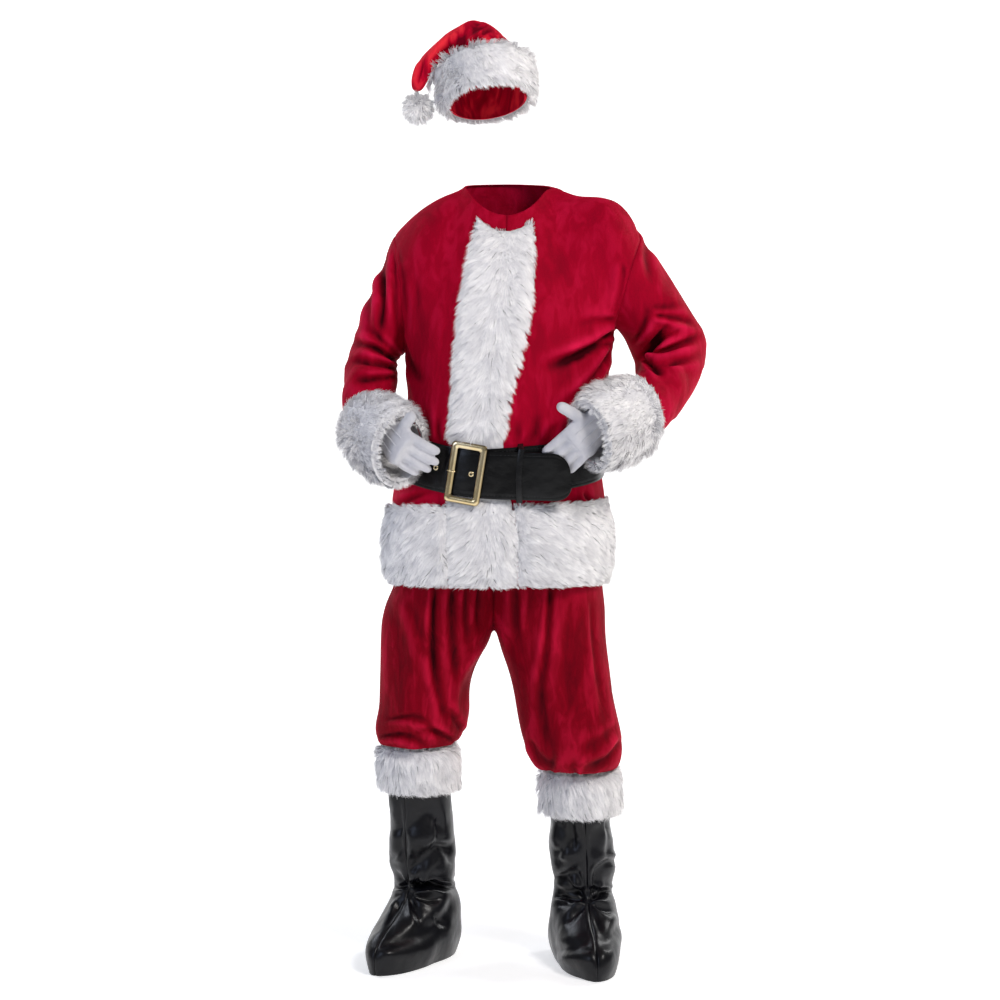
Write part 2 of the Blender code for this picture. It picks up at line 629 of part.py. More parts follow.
def waist(angle, share):
    """Points at the waist, inside the jacket. The share runs down the waistband."""
    height = belt_height(angle) + WAISTBAND * (0.5 - np.asarray(share))
    points = torso(angle, height)
    centre = np.array([0.004, 0.0, 0.0])
    flat = (points - centre) * np.array([1, 1, 0])
    flat *= 1 - WAIST_INSET / np.linalg.norm(flat, axis=-1, keepdims=True)
    return flat + centre * np.array([1, 1, 0]) + points * np.array([0, 0, 1])


def trouser_points(side, face, across, rows):
    """One quarter of the trousers: across runs from the middle or inner seam at 0 to the outer seam at 1."""
    u, _ = np.meshgrid(across, rows)
    _, height, x, y, half_width, front, back = [
        column[:, None] for column in np.moveaxis(smooth(LEGS[side], rows), -1, 0)
    ]
    middle = MIDDLE + side * SEAM / 2
    reach = np.clip((middle - x) * side / half_width, -1, 1)
    inner = np.degrees(np.arcsin(reach))
    inner = np.maximum(inner, -90 + LEG_SEAM)
    angle = inner + (90 - LEG_SEAM - inner) * u
    turned = np.radians(angle if face == "front" else 180 - angle)
    depth = front if face == "front" else back
    points = np.stack(
        [x + side * half_width * np.sin(turned), y - depth * np.cos(turned), height + 0 * turned], axis=-1
    )
    calm = ease((1 - rows) / 0.06)[:, None] * ease((rows - 0.2) / 0.1)[:, None]
    calm = calm * ease((90 - angle) / 12) * ease((angle - inner) / 12)
    points = moved(points, folded(TROUSER_FOLDS[side], turned * LEG_GIRTH, height) * calm)
    waist_angle = side * (90 * u if face == "front" else 180 - 90 * u)
    waist_angle = waist_angle + side * (0.1 if face == "front" else -0.1) * (1 - 2 * u)
    top = waist(waist_angle, 1 + 0.06)
    rise = ease(1 - rows / LEG_TOP)[:, None, None]
    return points * (1 - rise) + top * rise


def make_trousers():
    across = np.linspace(0, 1, LEG_COLUMNS)
    for side, name in ((RIGHT, "right"), (LEFT, "left")):
        for face in ("front", "back"):
            cloth(f"trouser_{face}_{name}", trouser_points(side, face, across, LEG_ROWS), VELVET, RED_VELVET)
    turn = np.linspace(-180, 180, 25)[:-1]
    band = np.stack([waist(turn, share) for share in (0, 0.5, 1)])
    cloth("trouser_waistband", band, VELVET, RED_VELVET, tube=True)


# Boot covers ---------------------------------------------------------------------------------------------

Boot = namedtuple("Boot", "ankle_x ankle_y toe_x toe_y top_x top_y top")
BOOTS = {
    LEFT: Boot(0.166, 0.050, 0.10, -0.995, 0.153, -0.009, 0.436),
    RIGHT: Boot(-0.152, 0.075, -0.46, -0.888, -0.165, 0.012, 0.480),
}
ANKLE = 0.145
BootSection = namedtuple("BootSection", "height half_width front back")
BOOT = (
    BootSection(0.000, 0.060, 0.198, 0.078),
    BootSection(0.020, 0.068, 0.206, 0.088),
    BootSection(0.045, 0.073, 0.203, 0.092),
    BootSection(0.068, 0.073, 0.176, 0.092),
    BootSection(0.088, 0.071, 0.132, 0.091),
    BootSection(0.108, 0.068, 0.096, 0.088),
    BootSection(0.126, 0.063, 0.073, 0.082),
    BootSection(0.145, 0.055, 0.062, 0.070),
    BootSection(0.168, 0.062, 0.067, 0.076),
    BootSection(0.205, 0.067, 0.070, 0.078),
    BootSection(0.250, 0.066, 0.068, 0.074),
    BootSection(0.310, 0.063, 0.064, 0.068),
    BootSection(0.380, 0.0625, 0.0625, 0.0625),
    BootSection(0.460, 0.0620, 0.0620, 0.0620),
)
BOOT_ROWS = np.array((0, 0.020, 0.045, 0.068, 0.088, 0.108, 0.126, 0.145, 0.165, 0.190, 0.220, 0.255, 0.290))
BOOT_COLUMNS = 8
BOOT_FUR_PILE = 0.020
BOOT_FUR_LENGTH = 0.134
BOOT_FUR_ROWS = (0, 0.09, 0.30, 0.52, 0.60, 0.625, 1.0)
BOOT_FUR_SHAPE = (0.45, 0.92, 1.0, 0.97, 0.70, 0.06, 0.06)  # the trouser hem presses its top flat
BOOT_GIRTH = 0.065
BOOT_FOLDS = (
    Fold(0.020, 0.160, 60, 0.070, 0.010, -0.005),
    Fold(0.050, 0.180, 75, 0.100, 0.011, 0.005),
    Fold(0.070, 0.215, 60, 0.110, 0.012, -0.005),
    Fold(0.110, 0.150, 90, 0.120, 0.010, 0.005),
    Fold(0.150, 0.190, 80, 0.110, 0.012, -0.005),
    Fold(0.060, 0.110, -60, 0.090, 0.011, 0.005),
    Fold(0.100, 0.085, -70, 0.110, 0.011, -0.005),
    Fold(0.040, 0.255, 30, 0.100, 0.013, 0.004),
)


def boot_points(side, turn, height):
    """Points of a boot cover, by the angle from its toe and the height."""
    b = BOOTS[side]
    turn, height = np.broadcast_arrays(turn, height)
    _, half_width, front, back = np.moveaxis(smooth(BOOT, height), -1, 0)
    ahead = np.where(np.cos(turn) > 0, front, back) * np.cos(turn)
    aside = half_width * np.sin(turn)
    up = np.clip((height - ANKLE) / (b.top - ANKLE), 0, 1.2)
    x = b.ankle_x + (b.top_x - b.ankle_x) * up + ahead * b.toe_x - aside * b.toe_y
    y = b.ankle_y + (b.top_y - b.ankle_y) * up + ahead * b.toe_y + aside * b.toe_x
    return np.stack([x, y, height], axis=-1)


def make_boots():
    for side, name in ((RIGHT, "right"), (LEFT, "left")):
        top = BOOTS[side].top
        fur_rows = top - BOOT_FUR_LENGTH + BOOT_FUR_LENGTH * np.array(BOOT_FUR_ROWS)
        rows = np.concatenate([BOOT_ROWS, fur_rows[fur_rows > BOOT_ROWS[-1] + 0.008]])
        for half, start in (("outer", 0), ("inner", 1)):
            sense = side if half == "outer" else -side
            turn = sense * np.radians(np.linspace(0.4, 179.6, BOOT_COLUMNS))
            points = boot_points(side, turn[None, :], rows[:, None])
            depth = folded(BOOT_FOLDS, np.abs(turn[None, :]) * BOOT_GIRTH, rows[:, None])
            calm = ease(rows / 0.03)[:, None] * ease((0.30 - rows) / 0.03)[:, None]
            calm = calm * ease(np.abs(turn) / 0.3) * ease((math.pi - np.abs(turn)) / 0.3)
            cloth(f"boot_{half}_{name}", moved(points, depth * calm), VINYL, BLACK_VINYL)
        turn = np.linspace(0, 2 * math.pi, 2 * BOOT_COLUMNS - 1)[:-1]
        under = boot_points(side, turn[None, :], fur_rows[:, None])
        pile = np.array(BOOT_FUR_SHAPE)[:, None] * BOOT_FUR_PILE
        fur = moved(under, SEAM + pile, True)
        wall(f"fur_boot_{name}", fur, moved(under, SEAM, True), WHITE_FUR, tube=True)


# Hat -----------------------------------------------------------------------------------------------------

HAT = (
    Ring(0.00, 0.0540, -0.010, 1.6960, -0.1010, -0.010, 1.6740, 0.100),
    Ring(0.20, 0.0450, 0.005, 1.7680, -0.1120, 0.005, 1.7400, 0.100),
    Ring(0.33, 0.0140, 0.014, 1.8120, -0.1180, 0.014, 1.7530, 0.085),
    Ring(0.47, -0.0390, 0.000, 1.8468, -0.1170, 0.000, 1.7620, 0.065),
    Ring(0.60, -0.1014, 0.000, 1.8175, -0.1220, 0.000, 1.7590, 0.045),
    Ring(0.72, -0.1478, -0.010, 1.7789, -0.1290, -0.010, 1.7430, 0.033),
    Ring(0.86, -0.1727, -0.020, 1.7307, -0.1417, -0.020, 1.7171, 0.022),
    Ring(1.00, -0.1690, -0.025, 1.7009, -0.1531, -0.025, 1.7009, 0.010),
)
HAT_ROWS = np.array((0, 0.03, 0.10, 0.17, 0.20, 0.265, 0.33, 0.40, 0.47, 0.54, 0.61, 0.70, 0.79, 0.90, 1.0))
HAT_COLUMNS = 9
HAT_BRIM_ROWS = 5  # rows of the crown that the fur brim covers
HAT_GIRTH = 0.08
HAT_LENGTH = 0.42
HAT_FOLDS = (
    Fold(0.060, 0.165, 40, 0.110, 0.011, -0.008),
    Fold(0.090, 0.200, 30, 0.120, 0.012, 0.008),
    Fold(0.150, 0.190, 12, 0.130, 0.012, -0.007),
    Fold(0.190, 0.250, 6, 0.130, 0.010, 0.006),
    Fold(0.110, 0.265, 10, 0.110, 0.009, -0.006),
    Fold(0.330, 0.180, -10, 0.140, 0.014, 0.008),
    Fold(0.410, 0.200, 8, 0.140, 0.014, -0.007),
)
POMPOM = (-0.1575, -0.0268, 1.6716)
POMPOM_CORE = 0.026
POMPOM_LOCK = 0.0095


def hat_points(turn, rows):
    points = between_rings(HAT, ring_points(HAT, turn, 1), rows)
    around, along = np.meshgrid(np.asarray(turn) * HAT_GIRTH, rows * HAT_LENGTH)
    calm = ease((rows - 0.20) / 0.08)[:, None] * ease((0.80 - rows) / 0.10)[:, None]
    calm = calm * np.minimum(ease(np.abs(np.sin(turn)) / 0.25), 1)
    return moved(points, folded(HAT_FOLDS, around, along) * calm, tube=True)


def make_hat():
    turn = np.linspace(0, 2 * math.pi, 2 * HAT_COLUMNS - 1)
    points = hat_points(turn[:-1], HAT_ROWS)
    points = np.concatenate([points, points[:, :1]], axis=1)
    for face, first in (("front", 0), ("back", HAT_COLUMNS - 1)):
        cloth(f"hat_crown_{face}", trimmed(points[:, first:first + HAT_COLUMNS]), HAT_VELVET, RED_VELVET)
    under = points[:HAT_BRIM_ROWS, :-1]
    pile = rounded_pile(*under.shape[:2], PILE, edge_columns=False)
    wall("fur_hat_brim", moved(under, SEAM + pile, True), moved(under, SEAM, True), WHITE_FUR, tube=True)

    ball = bmesh.new()
    bmesh.ops.create_icosphere(ball, subdivisions=2, radius=POMPOM_CORE)
    for k, face in enumerate(list(ball.faces)):
        length = POMPOM_LOCK * (0.85 + 0.15 * math.sin(2.4 * k))
        tip = bmesh.ops.poke(ball, faces=[face], offset=length)["verts"][0]
        tip.co.z -= 0.12 * length
    mesh = bpy.data.meshes.new("fur_pompom")
    ball.to_mesh(mesh)
    ball.free()
    mesh.materials.append(WHITE_FUR)
    pompom = bpy.data.objects.new("fur_pompom", mesh)
    pompom.location = Vector(POMPOM) - Vector((0, 0, ORIGIN_HEIGHT))
    bpy.context.scene.collection.objects.link(pompom)


# Belt ----------------------------------------------------------------------------------------------------

StrapPoint = namedtuple("StrapPoint", "angle height")
STRAP = (  # the middle of the strap, from its hidden end round the back and over itself to its free end
    StrapPoint(2, 0.971), StrapPoint(45, 0.985), StrapPoint(75, 0.998), StrapPoint(120, 1.020),
    StrapPoint(180, 1.030), StrapPoint(225, 1.034), StrapPoint(270, 1.022), StrapPoint(310, 1.000),
    StrapPoint(345, 0.978), StrapPoint(362, 0.970), StrapPoint(380, 0.967), StrapPoint(406, 0.966),
)
STRAP_GAP = 0.0027  # between the strap and the jacket
LAYER_GAP = 0.0012  # between the strap and the fur or the strap's first part, where it lies on them
STRAP_END = 403.5
STRAP_END_RADIUS = 0.034
STRAP_TURN = 0.22  # turns an angle along the strap into a distance
OVERLAP_START, OVERLAP_REACHED = 350, 360  # where the strap begins to lie over itself, and where it does
LIFT_START, LIFT_REACHED = 374, 404
TAIL_LIFT = 0.0352  # the glove's fingers are behind the free end
FUR_RISE = (-19.5, -14.5)  # the angles over which the strap climbs on to the front band and comes off it
FUR_FALL = (15.5, 20.5)


def strap_height(angle):
    return smooth(STRAP, angle)[..., 1]


def strap_offset(angle):
    """How far the back of the strap stands off the jacket."""
    def between(value, start, end):
        return ease((value - start) / (end - start))
    around = (np.asarray(angle) + 180) % 360 - 180
    on_fur = between(around, *FUR_RISE) * (1 - between(around, *FUR_FALL))
    over = between(angle, OVERLAP_START, OVERLAP_REACHED)
    lift = between(angle, LIFT_START, LIFT_REACHED)
    layers = on_fur * (PRESSED_PILE + LAYER_GAP) + over * (BELT_THICKNESS + LAYER_GAP)
    return STRAP_GAP + layers + lift * TAIL_LIFT


def strap_points(angle, across):
    """Points on the back of the strap. Across runs from -1 at its lower edge to 1 at its upper one."""
    left = np.radians(STRAP_END - angle) * STRAP_TURN
    corner = np.clip(1 - left / STRAP_END_RADIUS, 0, 1)
    half = BELT_WIDTH / 2 - STRAP_END_RADIUS * (1 - np.sqrt(1 - corner**2))
    cinched = 1 - ease((angle - 360) / 20)
    height = strap_height(angle) + across * half
    return moved(torso(angle, height + 0 * across, cinched), strap_offset(angle)[None, :] + 0 * across)


def make_strap():
    round_body = np.linspace(2, 326, 41)
    through_buckle = np.linspace(326, 368, 9)[1:]
    over_itself = np.linspace(368, 394.5, 6)[1:]
    free_end = STRAP_END - np.array((5.8, 3.4, 1.6, 0.5, 0.02))
    angle = np.concatenate([round_body, through_buckle, over_itself, free_end])
    across = np.array((-1, 0, 1))[:, None]
    back = strap_points(angle, across)
    wall("belt_strap", moved(back, BELT_THICKNESS), back, BLACK_VINYL)


def strap_frame(angle, up=0.0):
    """The place, outward normal, rightward and upward directions on the strap's outer face."""
    sweep = angle + np.array((-60, -1.5, 0, 1.5, min(60, STRAP_END - angle)))
    near = strap_points(sweep, np.array((-1, 0, 1))[:, None])[:, 1:4]
    along = near[1, 2] - near[1, 0]
    outward = np.cross(near[2, 1] - near[0, 1], along)
    outward *= np.sign(outward @ (near[1, 1] * np.array([1, 1, 0]))) / np.linalg.norm(outward)
    along /= np.linalg.norm(along)
    upward = np.cross(outward, along)
    upward *= np.sign(upward[2]) / np.linalg.norm(upward)
    return near[1, 1] + outward * BELT_THICKNESS + upward * up, outward, along, upward


# Buckle, eyelets and loop --------------------------------------------------------------------------------

BUCKLE_ANGLE = 357.2
BUCKLE_TILT = math.radians(-2.3)
BUCKLE_GAP = 0.0022
BUCKLE_OUTER = (0.0350, 0.0575)  # half width and half height
BUCKLE_WINDOW = (0.0222, 0.0455)
BUCKLE_CORNER = 0.008
BarPoint = namedtuple("BarPoint", "inward forward")
BUCKLE_BAR = (  # the section of a bar: 0 is the outer edge and 1 the window's edge
    BarPoint(0.00, 0.0000), BarPoint(0.00, 0.0028), BarPoint(0.22, 0.0048), BarPoint(0.72, 0.0048),
    BarPoint(1.00, 0.0030), BarPoint(1.00, 0.0000),
)


def rounded_rectangle(half_width, half_height, radius):
    corners = []
    for start, sx, sy in ((0, 1, 1), (90, -1, 1), (180, -1, -1), (270, 1, -1)):
        for turn in np.radians(start + np.linspace(0, 90, 5)):
            corners.append((
                sx * (half_width - radius) + radius * math.cos(turn),
                sy * (half_height - radius) + radius * math.sin(turn),
            ))
    return np.array(corners)


def buckle_frame():
    place, outward, along, upward = strap_frame(BUCKLE_ANGLE)
    right = along * math.cos(BUCKLE_TILT) + upward * math.sin(BUCKLE_TILT)
    up = upward * math.cos(BUCKLE_TILT) - along * math.sin(BUCKLE_TILT)
    return place + outward * BUCKLE_GAP, outward, right, up


def closed_body(name, points, material):
    """One solid from a grid that is closed both ways."""
    rows, columns = points.shape[:2]
    faces = [
        (
            i * columns + j,
            i * columns + (j + 1) % columns,
            (i + 1) % rows * columns + (j + 1) % columns,
            (i + 1) % rows * columns + j,
        )
        for i in range(rows)
        for j in range(columns)
    ]
    body = solid(name, points, faces, material)
    body.data.set_sharp_from_angle(angle=math.radians(30))
    return body


PRONG_HALF_WIDTH = 0.0012
PRONG_HALF_THICKNESS = 0.00055
PRONG_HOOK = (0.0078, 0.0037)  # how far the hooked tip reaches across the bar, and out of it
PRONG_LEVEL = 0.0018  # height of the hook's middle above the back of the frame


def make_buckle():
    place, outward, right, up = buckle_frame()
    outer = rounded_rectangle(*BUCKLE_OUTER, BUCKLE_CORNER)
    window = rounded_rectangle(*BUCKLE_WINDOW, BUCKLE_CORNER / 2)
    rings = []
    for bar in BUCKLE_BAR:
        flat = outer + (window - outer) * bar.inward
        rings.append(place + flat[:, :1] * right + flat[:, 1:] * up + bar.forward * outward)
    closed_body("buckle_frame", np.array(rings), GOLD)

    # the prong's tip, bent round the bar on the wearer's right
    middle = -(BUCKLE_OUTER[0] + BUCKLE_WINDOW[0]) / 2
    rings = []
    for turn in np.linspace(0, 2 * math.pi, 13)[:-1]:
        ring = []
        for thick, wide in ((0, -1), (2, -1), (2, 1), (0, 1)):
            grown = thick * PRONG_HALF_THICKNESS
            across = middle + (PRONG_HOOK[0] + grown) * math.cos(turn)
            forward = PRONG_LEVEL + (PRONG_HOOK[1] + grown) * math.sin(turn)
            ring.append(place + right * across + outward * forward + up * wide * PRONG_HALF_WIDTH)
        rings.append(ring)
    closed_body("buckle_prong", np.array(rings), GOLD)


EYELET_ANGLES = (359.8, 338.5)
EYELET = ((0.0021, 0.0006), (0.0023, 0.0018), (0.0052, 0.0018), (0.0056, 0.0006))  # radius and height


def make_eyelets():
    for number, angle in enumerate(EYELET_ANGLES, 1):
        place, outward, along, upward = strap_frame(angle)
        rings = [
            [
                place + (along * math.cos(turn) + upward * math.sin(turn)) * radius + outward * height
                for turn in np.linspace(0, 2 * math.pi, 9)[:-1]
            ]
            for radius, height in EYELET
        ]
        closed_body(f"belt_eyelet_{number}", np.array(rings), GOLD)


KEEPER_ANGLE = 381.5  # where the loop holds the free end
KEEPER_SLANT = -3.0  # degrees that its foot lies behind its head
KEEPER_WIDTH = 0.010
KEEPER_THICKNESS = 0.0010
KEEPER_GAP = 0.0013  # between the loop and the strap's faces
KEEPER_ROWS = (1.10, 0.5, 0, -0.5, -1.10)  # across the strap, a little beyond its edges


def keeper_point(angle, across, gap):
    """A point of the loop, off the strap at an angle along it."""
    rows = np.array((across - 0.02, across, across + 0.02))[:, None]
    sweep = angle + np.array((-60, -0.5, 0, 0.5))
    height = strap_height(angle) + rows * BELT_WIDTH / 2 + 0 * sweep
    points = torso(sweep, height, 1 - ease((sweep - 360) / 20))
    return moved(points, strap_offset(sweep)[None, :] + gap + 0 * rows)[1, 2]


def make_keeper():
    """A loop round the strap's two layers."""
    rings = []
    half_turn = math.degrees(KEEPER_WIDTH / 2 / STRAP_TURN)
    for edge, depth in ((-1, KEEPER_THICKNESS), (1, KEEPER_THICKNESS), (1, 0), (-1, 0)):
        front, behind = [], []
        for across in KEEPER_ROWS:
            angle = KEEPER_ANGLE + KEEPER_SLANT * (1 - across) / 2 + edge * half_turn
            front.append(keeper_point(angle, across, BELT_THICKNESS + KEEPER_GAP + depth))
            behind.append(keeper_point(angle - 360, across, -KEEPER_GAP - depth))
        ring = np.array(front + behind[::-1])
        ends = np.abs(np.tile(KEEPER_ROWS, 2)) > 1
        ring[ends, 2] += depth * np.sign(ring[ends, 2] - ring[:, 2].mean())
        rings.append(ring)
    closed_body("belt_keeper", np.array(rings), BLACK_VINYL)


# Gloves --------------------------------------------------------------------------------------------------

Hand = namedtuple("Hand", "wrist_x wrist_y wrist_z knuckle_x knuckle_y knuckle_z lean")
HANDS = {
    RIGHT: Hand(-0.2210, -0.1440, 1.0652, -0.1825, -0.2025, 1.0192, -0.60),
    LEFT: Hand(0.2040, -0.1780, 1.0860, 0.1420, -0.1975, 1.0265, 0.45),
}
PalmSection = namedtuple("PalmSection", "along width thickness")
PALM = (
    PalmSection(-0.004, 0.060, 0.042), PalmSection(0.024, 0.062, 0.038), PalmSection(0.056, 0.072, 0.032),
    PalmSection(0.084, 0.074, 0.027), PalmSection(0.094, 0.062, 0.019),
)
PALM_SIDES = 10
Digit = namedtuple("Digit", "along across length radius fan bend curl")
FINGERS = (  # across the knuckles, with the fan and the bends of both hands
    Digit(0.080, 0.0283, 0.072, 0.0094, 3, 0, 0),
    Digit(0.080, 0.0096, 0.082, 0.0096, 1, 0, 0),
    Digit(0.080, -0.0094, 0.076, 0.0094, -1, 0, 0),
    Digit(0.078, -0.0274, 0.060, 0.0086, -3, 0, 0),
)
FingerPose = namedtuple("FingerPose", "bend curl fan")
FINGER_POSES = {RIGHT: FingerPose(46, 74, -12), LEFT: FingerPose(22, 36, -10)}
THUMBS = {
    RIGHT: Digit(0.058, 0.0180, 0.056, 0.0115, 75, -20, -6),
    LEFT: Digit(0.045, 0.0200, 0.070, 0.0115, 69, -12, -4),
}
DIGIT_RINGS = ((0.0, 1.0), (0.55, 0.97), (0.86, 0.86), (0.97, 0.55))  # share of the length and of the radius
DIGIT_SIDES = 7


def capped_tube(name, rings):
    """A closed body through a row of rings."""
    rows, sides = len(rings), len(rings[0])
    faces = [
        (i * sides + j, i * sides + (j + 1) % sides, (i + 1) * sides + (j + 1) % sides, (i + 1) * sides + j)
        for i in range(rows - 1)
        for j in range(sides)
    ]
    faces += [tuple(range(sides)), tuple(range(rows * sides - 1, rows * sides - sides - 1, -1))]
    return solid(name, rings, faces, WHITE_COTTON)


def hand_axes(side):
    """The wrist, and the directions to the knuckles, to the thumb's side and out of the back of the hand."""
    hand = HANDS[side]
    wrist, knuckles = np.array(hand[:3]), np.array(hand[3:6])
    ahead = (knuckles - wrist) / np.linalg.norm(knuckles - wrist)
    back = np.array([hand.lean, -1.0, 0.0])
    back -= ahead * (back @ ahead)
    back /= np.linalg.norm(back)
    return wrist, ahead, np.cross(back, ahead) * -side, back


def oval(place, wide, thick, half_width, half_thickness, sides):
    turn = np.linspace(0, 2 * math.pi, sides + 1)[:-1, None]
    return place + wide * half_width * np.cos(turn) + thick * half_thickness * np.sin(turn)


def glove_bodies(side, name, shrink):
    """The palm and the five digits as overlapping bodies, each smaller by a distance."""
    wrist, ahead, thumbward, back = hand_axes(side)
    rings = []
    for number, section in enumerate(PALM):
        along = min(section.along, PALM[-1].along - shrink)
        if shrink and number == 0:
            along -= 2 * shrink
        half_width, half_thickness = section.width / 2 - shrink, section.thickness / 2 - shrink
        rings.append(oval(wrist + ahead * along, thumbward, back, half_width, half_thickness, PALM_SIDES))
    bodies = [capped_tube(f"{name}_palm", rings)]
    pose = FINGER_POSES[side]
    digits = [digit._replace(bend=pose.bend, curl=pose.curl, fan=digit.fan + pose.fan) for digit in FINGERS]
    digits.append(THUMBS[side])
    for number, digit in enumerate(digits):
        place = wrist + ahead * digit.along + thumbward * digit.across
        fan = math.radians(digit.fan)
        straight = ahead * math.cos(fan) + thumbward * math.sin(fan)
        rings, reached = [], 0.0
        for share, size in DIGIT_RINGS:
            bend = math.radians(digit.bend + (digit.curl - digit.bend) * share)
            heading = straight * math.cos(bend) - back * math.sin(bend)
            place = place + heading * (digit.length - shrink) * (share - reached)
            reached = share
            aside = np.cross(heading, back)
            aside /= np.linalg.norm(aside)
            radius = (digit.radius - shrink) * size
            rings.append(oval(place, aside, np.cross(aside, heading), radius, radius, DIGIT_SIDES))
        bodies.append(capped_tube(f"{name}_digit_{number}", rings))
    return bodies


def make_gloves():
    for side, name in ((RIGHT, "glove_right"), (LEFT, "glove_left")):
        outer = glove_bodies(side, f"{name}_outer", 0.0)
        inner = glove_bodies(side, f"{name}_inner", GLOVE)
        glove = outer[0]
        glove.name = name
        for operation, bodies in (("UNION", outer[1:]), ("DIFFERENCE", inner)):
            for body in bodies:
                body.hide_render = True
                body.display_type = "WIRE"
                join = glove.modifiers.new(body.name, "BOOLEAN")
                join.operation = operation
                join.solver = "EXACT"
                join.object = body


make_jacket_body()
make_sleeves()
make_front_band()
make_hem_bands()
make_trousers()
make_boots()
make_hat()
make_strap()
make_buckle()
make_eyelets()
make_keeper()
make_gloves()
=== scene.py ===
"""A Santa suit as it is worn, with nobody in it: red velvet, white fur, black imitation leather and white gloves.

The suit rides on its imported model, in metres. The suit faces -Y, the wearer's left is towards +X, and the origin
is between the wearer's shoulders, so the floor is at the lowest point of the boot covers.
"""

import json
import math
from collections import namedtuple

import bmesh
import bpy
import numpy as np
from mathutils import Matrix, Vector, kdtree, noise
from mathutils.bvhtree import BVHTree

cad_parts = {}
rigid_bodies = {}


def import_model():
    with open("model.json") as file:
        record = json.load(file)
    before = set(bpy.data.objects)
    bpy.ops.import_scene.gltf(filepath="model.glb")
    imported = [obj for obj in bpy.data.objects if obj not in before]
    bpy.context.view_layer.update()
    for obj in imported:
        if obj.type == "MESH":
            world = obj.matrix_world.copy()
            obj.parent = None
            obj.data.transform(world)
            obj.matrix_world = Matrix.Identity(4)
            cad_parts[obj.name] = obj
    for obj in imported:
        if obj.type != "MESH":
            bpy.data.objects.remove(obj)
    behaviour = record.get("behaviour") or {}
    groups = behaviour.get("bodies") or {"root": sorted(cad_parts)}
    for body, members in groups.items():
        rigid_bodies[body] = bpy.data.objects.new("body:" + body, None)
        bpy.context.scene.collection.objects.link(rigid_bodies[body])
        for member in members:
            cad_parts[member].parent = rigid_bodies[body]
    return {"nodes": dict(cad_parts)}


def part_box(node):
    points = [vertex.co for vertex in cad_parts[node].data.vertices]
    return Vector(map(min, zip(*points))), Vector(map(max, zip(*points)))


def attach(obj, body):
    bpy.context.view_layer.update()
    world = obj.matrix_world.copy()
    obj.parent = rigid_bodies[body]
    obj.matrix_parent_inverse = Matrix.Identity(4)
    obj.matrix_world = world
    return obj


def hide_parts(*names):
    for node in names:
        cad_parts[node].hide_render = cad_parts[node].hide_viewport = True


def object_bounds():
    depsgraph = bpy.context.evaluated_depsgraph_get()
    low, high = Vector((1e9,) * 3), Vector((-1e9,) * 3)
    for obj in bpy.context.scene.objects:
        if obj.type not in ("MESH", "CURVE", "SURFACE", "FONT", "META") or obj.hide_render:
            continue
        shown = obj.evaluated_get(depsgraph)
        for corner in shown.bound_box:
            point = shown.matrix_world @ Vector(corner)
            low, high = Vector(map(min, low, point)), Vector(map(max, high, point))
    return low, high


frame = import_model()
cad_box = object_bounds()
noise.seed_set(1)  # Blender would seed the fur's noise from the clock, and no two runs would be the same


# Jacket ----------------------------------------------------
# Two flared fronts and a back of crimson polyester velvet, sewn at the shoulders and the sides. The cloth hangs
# from the shoulders, is drawn in by the belt and blouses over it.

SIDES = ("right", "left")  # the wearer's
VIEW_DISTANCE = 4.2  # from the middle of the suit to the eye that the folds are laid out for
VIEW_HEIGHT = -0.37
RIM_ANGLE = math.radians(52)  # a wall's faces turn by more than this only at its rim
WELD = 0.00002
FRONT_TO_BACK = 0.35  # the share of a normal towards -Y or +Y by which the creases are all the front's or the back's
SEAM_REACH = 0.0080  # edges this close are sewn together
SMALL_HOLE = 8  # a hole with no more sides than this is a seam that didn't quite meet
SEAM_CALM = 0.014  # folds start this far from a seam
SEAM_GROOVE, SEAM_GROOVE_WIDTH = 0.0014, 0.0035
SEAM_ALLOWANCE = 0.004
FOLD_SHADE_FULL = 0.012  # the depth of a fold at which its painted shade is darkest
SUBDIVISIONS = 3
CORNER_BASE = 10000
PRESS_REACH = 0.022  # folds are full this far from what presses on the cloth


def solid(node):
    return frame["nodes"][node].data


def shape_of(mesh):
    shape = bmesh.new()
    shape.from_mesh(mesh)
    return shape


def mesh_of(shape, name, smoothed=True):
    """A mesh from a bmesh, which is freed."""
    mesh = bpy.data.meshes.new(name)
    shape.to_mesh(mesh)
    shape.free()
    if smoothed:
        mesh.shade_smooth()
    return mesh


def closed_mesh_of(shape, name):
    bmesh.ops.recalc_face_normals(shape, faces=shape.faces)
    return mesh_of(shape, name)


def outer_sheet(node):
    """The outer face of a wall of cloth, as a bmesh of four-sided faces, without the wall's rim and inner face."""
    shape = shape_of(solid(node))
    bmesh.ops.remove_doubles(shape, verts=shape.verts, dist=WELD)
    bmesh.ops.join_triangles(
        shape, faces=shape.faces[:], angle_face_threshold=math.radians(45), angle_shape_threshold=math.pi
    )
    shape.faces.ensure_lookup_table()
    island = {}
    for first in shape.faces:
        if first in island:
            continue
        island[first] = first.index
        waiting = [first]
        while waiting:
            face = waiting.pop()
            for edge in face.edges:
                if len(edge.link_faces) != 2 or edge.calc_face_angle() > RIM_ANGLE:
                    continue
                for other in edge.link_faces:
                    if other not in island:
                        island[other] = first.index
                        waiting.append(other)
    middle = sum((face.calc_center_median() for face in shape.faces), Vector()) / len(shape.faces)
    facing = {}
    for face, number in island.items():
        out = face.calc_area() * face.normal.dot(face.calc_center_median() - middle)
        facing[number] = facing.get(number, 0.0) + out
    best = max(facing, key=facing.get)
    bmesh.ops.delete(shape, geom=[face for face in shape.faces if island[face] != best], context="FACES")
    return shape


def new_object(name, mesh, material):
    mesh.name = name
    mesh.materials.clear()
    mesh.materials.append(material)
    obj = bpy.data.objects.new(name, mesh)
    bpy.context.scene.collection.objects.link(obj)
    return obj


